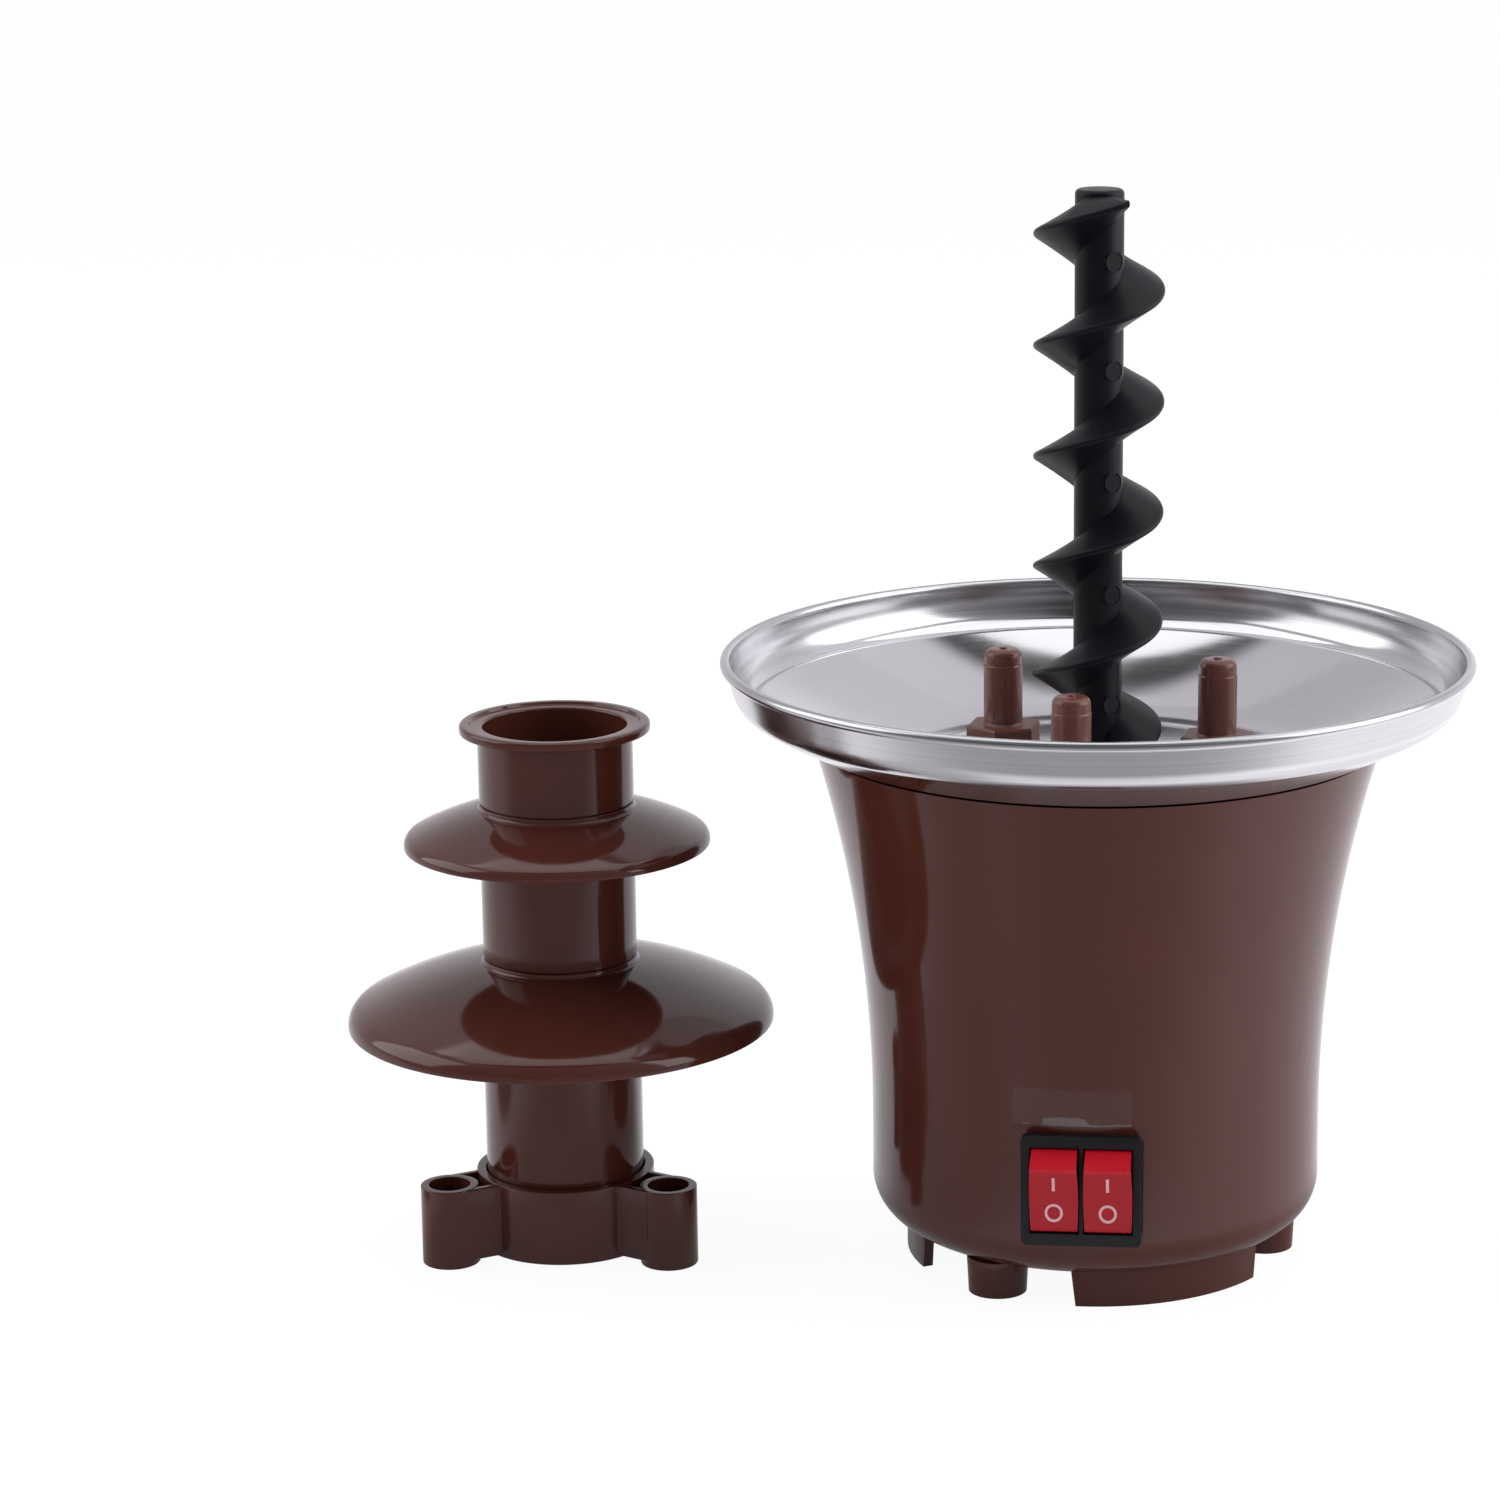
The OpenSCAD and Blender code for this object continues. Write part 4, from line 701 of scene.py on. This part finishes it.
class FOUNTAIN_OT_switch(bpy.types.Operator):
    """Make the double switch: case, rockers and their marks"""

    bl_idname = "fountain.switch"
    bl_label = "Switch"

    face, half, dish, back = 5.2, 7.65, 0.7, 3.0
    width, pitch = 10.0, 11.2
    pivot = np.array([-47.6, SWITCH_Z])

    def dish_radius(self):
        return (self.half ** 2 + self.dish ** 2) / (2 * self.dish)

    def face_depth(self, up):
        """Forward reach of the hollowed face at height up above the pivot."""
        big = self.dish_radius()
        return self.face - self.dish + big - np.sqrt(big ** 2 - up ** 2)

    def place(self, points, side):
        """From (across, forward, up) about the pivot to the rest pose."""
        local = np.stack([points[..., 0], -points[..., 1], points[..., 2]], -1)
        pivot = np.array([BASE[0] + side * self.pitch / 2, self.pivot[0], self.pivot[1]])
        return tilted(local, bpy.context.scene.fountain_sizes.rocker_tilt) + pivot

    def rocker(self, side):
        """Outline (forward, up) of the side view, carried across with rounded edges, a little barrelled."""
        sweep = math.hypot(self.face, self.half)
        up = np.linspace(self.half - 0.35, -self.half + 0.35, 24)
        front = np.stack([self.face_depth(up), up], -1)
        start = math.degrees(math.atan2(-self.half, self.face))
        lower = arc((0, 0), sweep, start + 1.0 - 3, -180 + math.degrees(math.acos(self.back / sweep)), 12)
        upper = lower[::-1] * [1, -1]
        outline = np.concatenate([front, lower, upper])
        middle = np.array([0.8, 0.0])
        edge = 0.45
        w = self.width / 2
        turn = np.linspace(0, np.pi / 2, 5)
        across = np.concatenate([-w + edge * (1 - np.sin(turn)), w - edge * (1 - np.sin(turn[::-1]))])
        inset = np.concatenate([edge * (1 - np.cos(turn[::-1])), edge * (1 - np.cos(turn))])
        reach = np.linalg.norm(outline - middle, axis=1)[None, :, None]
        rings = middle + (outline - middle)[None] * (1 - inset[:, None, None] / reach)
        x = across[:, None] * (1.015 - 0.045 * (rings[..., 1] / self.half) ** 2)
        side_grid = np.stack([x, rings[..., 0], rings[..., 1]], -1)
        cap = np.array([[0, middle[0], middle[1]]])
        ends = [np.repeat((cap + [[v, 0, 0]])[:, None], side_grid.shape[1], 1) for v in (-w, w)]
        points = np.concatenate([ends[0], side_grid, ends[1]])
        return grid(self.place(points, side), wrap_v=True)

    def marks(self, side):
        """The stroke and the ring on a rocker's face, lifted a hair above its hollow."""
        lift = np.array([0.0, 0.04, 0.04, 0.0])
        parts = []
        x = np.array([-0.3, -0.3, 0.3, 0.3])[None]
        up = np.linspace(1.95, 5.4, 9)[:, None]
        parts.append(np.stack([x + 0 * up, self.face_depth(up) + lift[None] - 0.01, up + 0 * x], -1))
        u = np.linspace(0, 2 * np.pi, 49)[:, None]
        r = np.array([1.36, 1.36, 1.88, 1.88])[None]
        up = -3.4 + 1.14 * r * np.sin(u)
        parts.append(np.stack([r * np.cos(u), self.face_depth(up) + lift[None] - 0.01, up], -1))
        return [grid(self.place(p, side)) for p in parts]

    def execute(self, context):
        f = finishes()
        dressed_copy("switch_housing", "switch_case", "base", f["case"], 0.25)
        for name, body, side in (("motor", "motor_switch", -1), ("heat", "heat_switch", 1)):
            piece(name + "_key", [self.rocker(side)], body, f["red"], [name + "_rocker"],
                  smooth_angle=math.radians(40))
            piece(name + "_key_marks", self.marks(side), body, f["mark"], solid=False)
        return {"FINISHED"}


class FOUNTAIN_OT_sticker(bpy.types.Operator):
    """Put the bare clear sticker on the body above the switch"""

    bl_idname = "fountain.sticker"
    bl_label = "Sticker"

    def execute(self, context):
        """A patch of the body's side, r(z) + lift, between two angles and two heights; its edges dip."""
        columns, rows = 40, 16
        angle = np.radians(np.linspace(-107.3, -77.9, columns))[:, None]
        z = np.linspace(*STICKER_Z, rows)[None]
        border = np.ones((columns, rows))
        border[[0, -1], :] = 0
        border[:, [0, -1]] = 0
        wave = 0.03 * np.sin(angle * 37) * np.sin(z * 1.1)
        r = side_radius(z) + 0.02 + border * (0.10 + wave)
        points = np.stack([BASE[0] + r * np.cos(angle), BASE[1] + r * np.sin(angle), z + 0 * angle], -1)
        piece("bare_sticker", [grid(points)], "base", finishes()["film"], solid=False)
        return {"FINISHED"}


class FOUNTAIN_OT_tower(bpy.types.Operator):
    """Make the tower's four mouldings"""

    bl_idname = "fountain.tower"
    bl_label = "Tower"

    def tier(self, tier, tube):
        """Closed outline of a tier: bore and seat, neck with its fillet, crown arc, shoulder arc, lip, the
        same arcs inside, hub, and the outline of the tube given."""
        top = crown_level(tier, TUBE_R)
        zc = crown_centre(**tier)
        corner = np.array([tier["r"] - tier["shoulder"], tier["z"]])
        meet = math.degrees(math.atan2(corner[1] - zc, corner[0]))

        def dome(inset, at):
            big = tier["crown"] - inset
            start = math.degrees(math.acos(at / big))
            return np.concatenate([arc((0, zc), big, start, meet, 24)[:-1],
                                   arc(corner, tier["shoulder"] - inset, meet, 0, 14)])

        e = sizes("edge")
        foot_r = TUBE_R + NECK_FILLET
        fillet = arc((foot_r, crown_level(tier, foot_r) + NECK_FILLET), NECK_FILLET, 180, 270, 8)[:-1]
        outer = np.concatenate([fillet, dome(0, foot_r)])
        inner = dome(TIER_WALL, HUB_R)[::-1]
        low = tier["z"] - LIP
        ledge, neck = top + NECK_H - SEAT_DEPTH, top + NECK_H
        seat = [[TUBE_BORE, tube[-1][1]], [TUBE_BORE, ledge], [LAP_SEAT, ledge], [LAP_SEAT, neck],
                [TUBE_R, neck]]
        lip = [[tier["r"], low], [tier["r"] - TIER_WALL, low]]
        hub = [[HUB_R, top - HUB_H], [tube[0][0], top - HUB_H]]
        corners = np.concatenate([seat, outer, lip, inner, hub, tube])
        radii = [0.2, 0, 0, 0.1, 0.2] + [0] * len(outer) + [0.25, 0.25] + [0] * len(inner)
        radii += [e, 0.3] + [0.2] * (len(tube) - 1) + [0.1]
        return lathe(rounded(corners, radii), TOWER, 224)

    def stepped(self, below):
        """Lower end of a tube that fits inside the neck of the tier below it, as points going down."""
        neck = crown_level(below, TUBE_R) + NECK_H
        return [[TUBE_R, neck + JOINT_GAP], [LAP_R, neck + JOINT_GAP], [LAP_R, neck - SEAT_DEPTH]]

    def crown(self):
        top, flange, step = 116.8, 20.3, 18.0
        tube = self.stepped(SMALL)
        bore = [[TUBE_BORE, tube[-1][1]], [TUBE_BORE, top - 0.6], [step, top - 0.6], [step + 0.3, top]]
        rim = [[flange, top], [flange, top - 2], [TUBE_R, top - 2]]
        radii = [0.2, 0.5, 0.25, 0.2, 0.7, 0.5, 0.5, 0.2, 0, 0.1]
        return lathe(rounded(bore + rim + tube, radii), TOWER, 192)

    def foot(self):
        """A ring about the lowest tube, three sockets, and two thin ribs from the ring to each."""
        top, ring_r, bottom, e = 17.5, 19.2, 1.0, sizes("edge")
        socket_bore, socket_r = 4.45, 6.2
        seat, mouth = LOW_TUBE_R + 0.06, LOW_TUBE_R + 0.25
        inside = [[TUBE_BORE, bottom], [TUBE_BORE, LEDGE_Z], [seat, LEDGE_Z], [seat, top - 7],
                  [mouth, top - 6.6], [mouth, top]]
        ring = rounded(inside + [[ring_r, top], [ring_r, bottom]], [0.3, 0, 0, 0, 0, 0.15, 0.25, e])
        socket = rounded([[socket_bore, 0], [socket_bore, top], [socket_r, top], [socket_r, 0]],
                         [0.3, 0.12, 0.2, e])
        parts = [lathe(ring, TOWER, 160)]
        for angle in SOCKET_ANGLES:
            parts.append(lathe(socket, polar(PEG_CIRCLE, angle, TOWER), 72))
            parts += [self.rib(angle, side) for side in (-1, 1)]
        return parts

    def rib(self, angle, side):
        """Section (across, z) of a thin rib carried along the radius s from the ring into the socket; near
        the ring its outer face flares by 0.22 (19.4 - s)^2."""
        near, far, low, high = 4.4, 6.0, 1.5, 17.4
        s = np.linspace(17.4, 25.8, 24)[:, None]
        flare = 0.22 * np.maximum(19.4 - s, 0) ** 2
        section = rounded([[near, low], [far, low], [far, high], [near, high]], [0.2, 0.3, 0.3, 0.2], 3)
        across = side * (section[None, :, 0] + flare * (section[None, :, 0] > (near + far) / 2))
        z = section[None, :, 1] + 0 * s
        t = math.radians(angle)
        x = TOWER[0] + s * math.cos(t) - across * math.sin(t)
        y = TOWER[1] + s * math.sin(t) + across * math.cos(t)
        points = np.stack([x, y, z], -1)
        ends = [np.repeat(points[[k]].mean(1, keepdims=True), points.shape[1], 1) for k in (0, -1)]
        return grid(np.concatenate([ends[0], points, ends[1]]), wrap_v=True)

    def execute(self, context):
        f = finishes()
        make = (
            ("tower_base", self.foot(), f["brown_satin"], "tower_foot"),
            ("large_tier", [self.tier(LARGE, [[LOW_TUBE_R, LEDGE_Z]])], f["brown"], "lower_tier"),
            ("small_tier", [self.tier(SMALL, self.stepped(LARGE))], f["brown"], "upper_tier"),
            ("tower_top", [self.crown()], f["brown"], "tower_crown"),
        )
        for name, parts, material, node in make:
            piece(name, parts, "tower", material, [node])
        return {"FINISHED"}


class FOUNTAIN_OT_underside(bpy.types.Operator):
    """Dress the base cover and the cord gland"""

    bl_idname = "fountain.underside"
    bl_label = "Underside"

    def execute(self, context):
        f = finishes()
        dressed_copy("base_cover", "underside_cover", "base", f["brown_satin"], 0.3)
        dressed_copy("cord_gland", "lead_grommet", "base", f["rubber"], 0.3)
        return {"FINISHED"}


class FOUNTAIN_OT_inner(bpy.types.Operator):
    """Give the screws and the pieces inside the base their finishes"""

    bl_idname = "fountain.inner"
    bl_label = "Inner pieces"

    looks = {
        "plate": ["cover_screws", "peg_screws", "peg_spacers", "bracket_screws", "gearbox_screws",
                  "motor_screws", "motor_bracket", "motor_can", "motor_shaft", "idler_axle", "drive_shaft",
                  "heater_plate"],
        "brass": ["motor_pinion", "upper_bush", "lower_bush", "switch_terminals"],
        "pale": ["gearbox_case", "idler_gear", "output_gear"],
        "sensor": ["thermostat", "thermal_fuse"],
        "silicone": ["peg_seals", "shaft_seal"],
        "sheath": ["heating_element"],
    }

    def execute(self, context):
        for look, nodes in self.looks.items():
            for node in nodes:
                mesh = frame["nodes"][node].data
                mesh.materials.clear()
                mesh.materials.append(finishes()[look])
        return {"FINISHED"}


class FOUNTAIN_OT_stage(bpy.types.Operator):
    """Set the floor, the light and the camera"""

    bl_idname = "fountain.stage"
    bl_label = "Stage"

    pools = (
        ((-0.075, -0.06, 0), (0.04, 0.09), 0.45),
        ((0.0405, 0, 0), (0.05, 0.09), 0.35),
        ((-0.185, -0.024, 0), (0.022, 0.038), 0.15),
    )
    mirrored_tint = (0.985, 0.955, 1.0, 1)

    def floor(self):
        """A floor that rises into a backdrop: (x, y, z(y)) with a quarter round between them."""
        turn, bend_y, bend_r = np.linspace(0.1, np.pi / 2, 12), 2.2, 0.8
        y = np.concatenate([[-2.5], np.linspace(-1.2, bend_y, 12), bend_y + bend_r * np.sin(turn),
                            [bend_y + bend_r]])
        z = np.concatenate([[0], np.zeros(12), bend_r * (1 - np.cos(turn)), [3.2]])
        x = np.linspace(-4, 4, 9)[:, None]
        points = np.stack([x + 0 * y[None], y[None] + 0 * x, z[None] + 0 * x], -1)
        verts, faces = grid(points)
        mesh = bpy.data.meshes.new("backdrop")
        mesh.from_pydata(verts.tolist(), [], faces.tolist())
        for p in mesh.polygons:
            p.use_smooth = True
        obj = bpy.data.objects.new("backdrop", mesh)
        bpy.context.scene.collection.objects.link(obj)
        mesh.materials.append(self.floor_look())

    def floor_look(self):
        """Pale paper: white where it is looked at; where it is mirrored it falls into shade towards the
        viewer, to the left, by the feet of base and tower and high up; diffuse for the light it returns."""
        mat = bpy.data.materials.new("pale_paper")
        mat.use_nodes = True
        tree = mat.node_tree
        nodes, links = tree.nodes, tree.links
        nodes.clear()
        out = nodes.new("ShaderNodeOutputMaterial")
        plain = nodes.new("ShaderNodeBsdfDiffuse")
        plain.inputs["Color"].default_value = colour("floor")
        path = nodes.new("ShaderNodeLightPath")
        where = nodes.new("ShaderNodeTexCoord")
        split = nodes.new("ShaderNodeSeparateXYZ")
        links.new(where.outputs["Object"], split.inputs[0])

        def pool(place, reach, depth):
            """Shade about a point of the floor, full within one distance and gone at another."""
            near = nodes.new("ShaderNodeVectorMath")
            near.operation = "DISTANCE"
            near.inputs[1].default_value = place
            links.new(where.outputs["Object"], near.inputs[0])
            return ramp(tree, near.outputs["Value"], reach, (depth, 1.0))

        shade = math_node(tree, "MULTIPLY", ramp(tree, split.outputs[1], (-0.19, -0.06), (0.30, 1.04)),
                          ramp(tree, split.outputs[0], (-0.7, 0.7), (0.84, 1.1)))
        for place, reach, depth in self.pools:
            shade = math_node(tree, "MULTIPLY", shade, pool(place, reach, depth))
        shade = math_node(tree, "MULTIPLY", shade, ramp(tree, split.outputs[2], (0.4, 2.2), (1.0, 0.76)))
        seen = math_node(tree, "MAXIMUM", path.outputs["Is Camera Ray"], path.outputs["Is Transmission Ray"])
        level = math_node(tree, "MAXIMUM", shade, math_node(tree, "MULTIPLY", seen, 1.07))
        glow = nodes.new("ShaderNodeEmission")
        tint = nodes.new("ShaderNodeMix")
        tint.data_type = "RGBA"
        tint.inputs[6].default_value = self.mirrored_tint
        tint.inputs[7].default_value = (1, 1, 1, 1)
        links.new(seen, tint.inputs["Factor"])
        links.new(tint.outputs[2], glow.inputs["Color"])
        links.new(level, glow.inputs["Strength"])
        part = nodes.new("ShaderNodeMixShader")
        either = math_node(tree, "MAXIMUM", seen, path.outputs["Is Glossy Ray"])
        links.new(math_node(tree, "MULTIPLY", either, 0.88), part.inputs["Fac"])
        links.new(plain.outputs[0], part.inputs[1])
        links.new(glow.outputs[0], part.inputs[2])
        links.new(part.outputs[0], out.inputs["Surface"])
        return mat

    def sky(self):
        """A white surround, open and dim towards the viewer, that dims towards the ceiling too."""
        world = bpy.data.worlds.new("studio")
        bpy.context.scene.world = world
        world.use_nodes = True
        tree = world.node_tree
        nodes, links = tree.nodes, tree.links
        back = nodes["Background"]
        where = nodes.new("ShaderNodeTexCoord")
        split = nodes.new("ShaderNodeSeparateXYZ")
        links.new(where.outputs["Generated"], split.inputs[0])
        level = math_node(tree, "MULTIPLY", ramp(tree, split.outputs[1], (-0.9, 0.3), (0.2, 0.85)),
                          ramp(tree, split.outputs[2], (0.82, 0.86), (1.0, 0.12)))
        level = math_node(tree, "MULTIPLY", level, ramp(tree, split.outputs[0], (-0.8, 0.8), (0.75, 1.1)))
        path = nodes.new("ShaderNodeLightPath")
        seen = math_node(tree, "MULTIPLY", path.outputs["Is Camera Ray"], 1.06)
        links.new(math_node(tree, "MAXIMUM", level, seen), back.inputs["Strength"])
        back.inputs["Color"].default_value = self.mirrored_tint

    def lamp(self, name, place, aim, size, power):
        data = bpy.data.lights.new(name, "AREA")
        data.shape = "RECTANGLE"
        data.size, data.size_y = size
        data.energy = power
        obj = bpy.data.objects.new(name, data)
        bpy.context.scene.collection.objects.link(obj)
        obj.location = place
        direction = np.array(aim) - np.array(place)
        flat = math.hypot(direction[0], direction[1])
        obj.rotation_euler = (math.atan2(flat, -direction[2]), 0, math.atan2(-direction[0], direction[1]))

    def camera(self):
        data = bpy.data.cameras.new("photo_view")
        data.lens = 106.88
        data.sensor_width = 36
        data.shift_x = -0.1743
        obj = bpy.data.objects.new("photo_view", data)
        bpy.context.scene.collection.objects.link(obj)
        obj.location = (0.0930, -0.9203, 0.33974)
        obj.rotation_euler = (math.radians(76.03), 0, math.radians(4.4))
        bpy.context.scene.camera = obj

    def execute(self, context):
        self.camera()
        self.floor()
        self.sky()
        self.lamp("left_box", (-1.4, -0.1, 0.8), (0.0, 0, 0.1), (1.4, 1.2), 9)
        self.lamp("top_box", (0.04, 0.12, 1.5), (0.04, 0.12, 0.1), (2.0, 1.2), 11)
        self.lamp("right_box", (1.5, -0.05, 0.6), (0.0, 0, 0.1), (1.5, 1.6), 17)
        bpy.context.scene.view_settings.view_transform = "Standard"
        return {"FINISHED"}


OPERATORS = (FOUNTAIN_OT_stage, FOUNTAIN_OT_body, FOUNTAIN_OT_bowl, FOUNTAIN_OT_pegs, FOUNTAIN_OT_auger,
             FOUNTAIN_OT_switch, FOUNTAIN_OT_sticker, FOUNTAIN_OT_tower, FOUNTAIN_OT_underside,
             FOUNTAIN_OT_inner)


class FOUNTAIN_PT_sidebar(bpy.types.Panel):
    """Lists the fountain's pieces"""

    bl_idname = "FOUNTAIN_PT_sidebar"
    bl_label = "Chocolate fountain"
    bl_space_type = "VIEW_3D"
    bl_region_type = "UI"
    bl_category = "Fountain"

    def draw(self, context):
        for settings in (context.scene.fountain_sizes, context.scene.fountain_colours):
            for key in settings.__annotations__:
                self.layout.prop(settings, key)
        for operator in OPERATORS:
            self.layout.operator(operator.bl_idname)


CLASSES = (FountainSizes, FountainColours) + OPERATORS + (FOUNTAIN_PT_sidebar,)


def register():
    for cls in CLASSES:
        bpy.utils.register_class(cls)
    bpy.types.Scene.fountain_sizes = bpy.props.PointerProperty(type=FountainSizes)
    bpy.types.Scene.fountain_colours = bpy.props.PointerProperty(type=FountainColours)


def unregister():
    del bpy.types.Scene.fountain_colours
    del bpy.types.Scene.fountain_sizes
    for cls in reversed(CLASSES):
        bpy.utils.unregister_class(cls)


def main():
    register()
    for operator in OPERATORS:
        kind, name = operator.bl_idname.split(".")
        getattr(getattr(bpy.ops, kind), name)()
    bpy.context.view_layer.update()


if __name__ == "__main__":
    main()
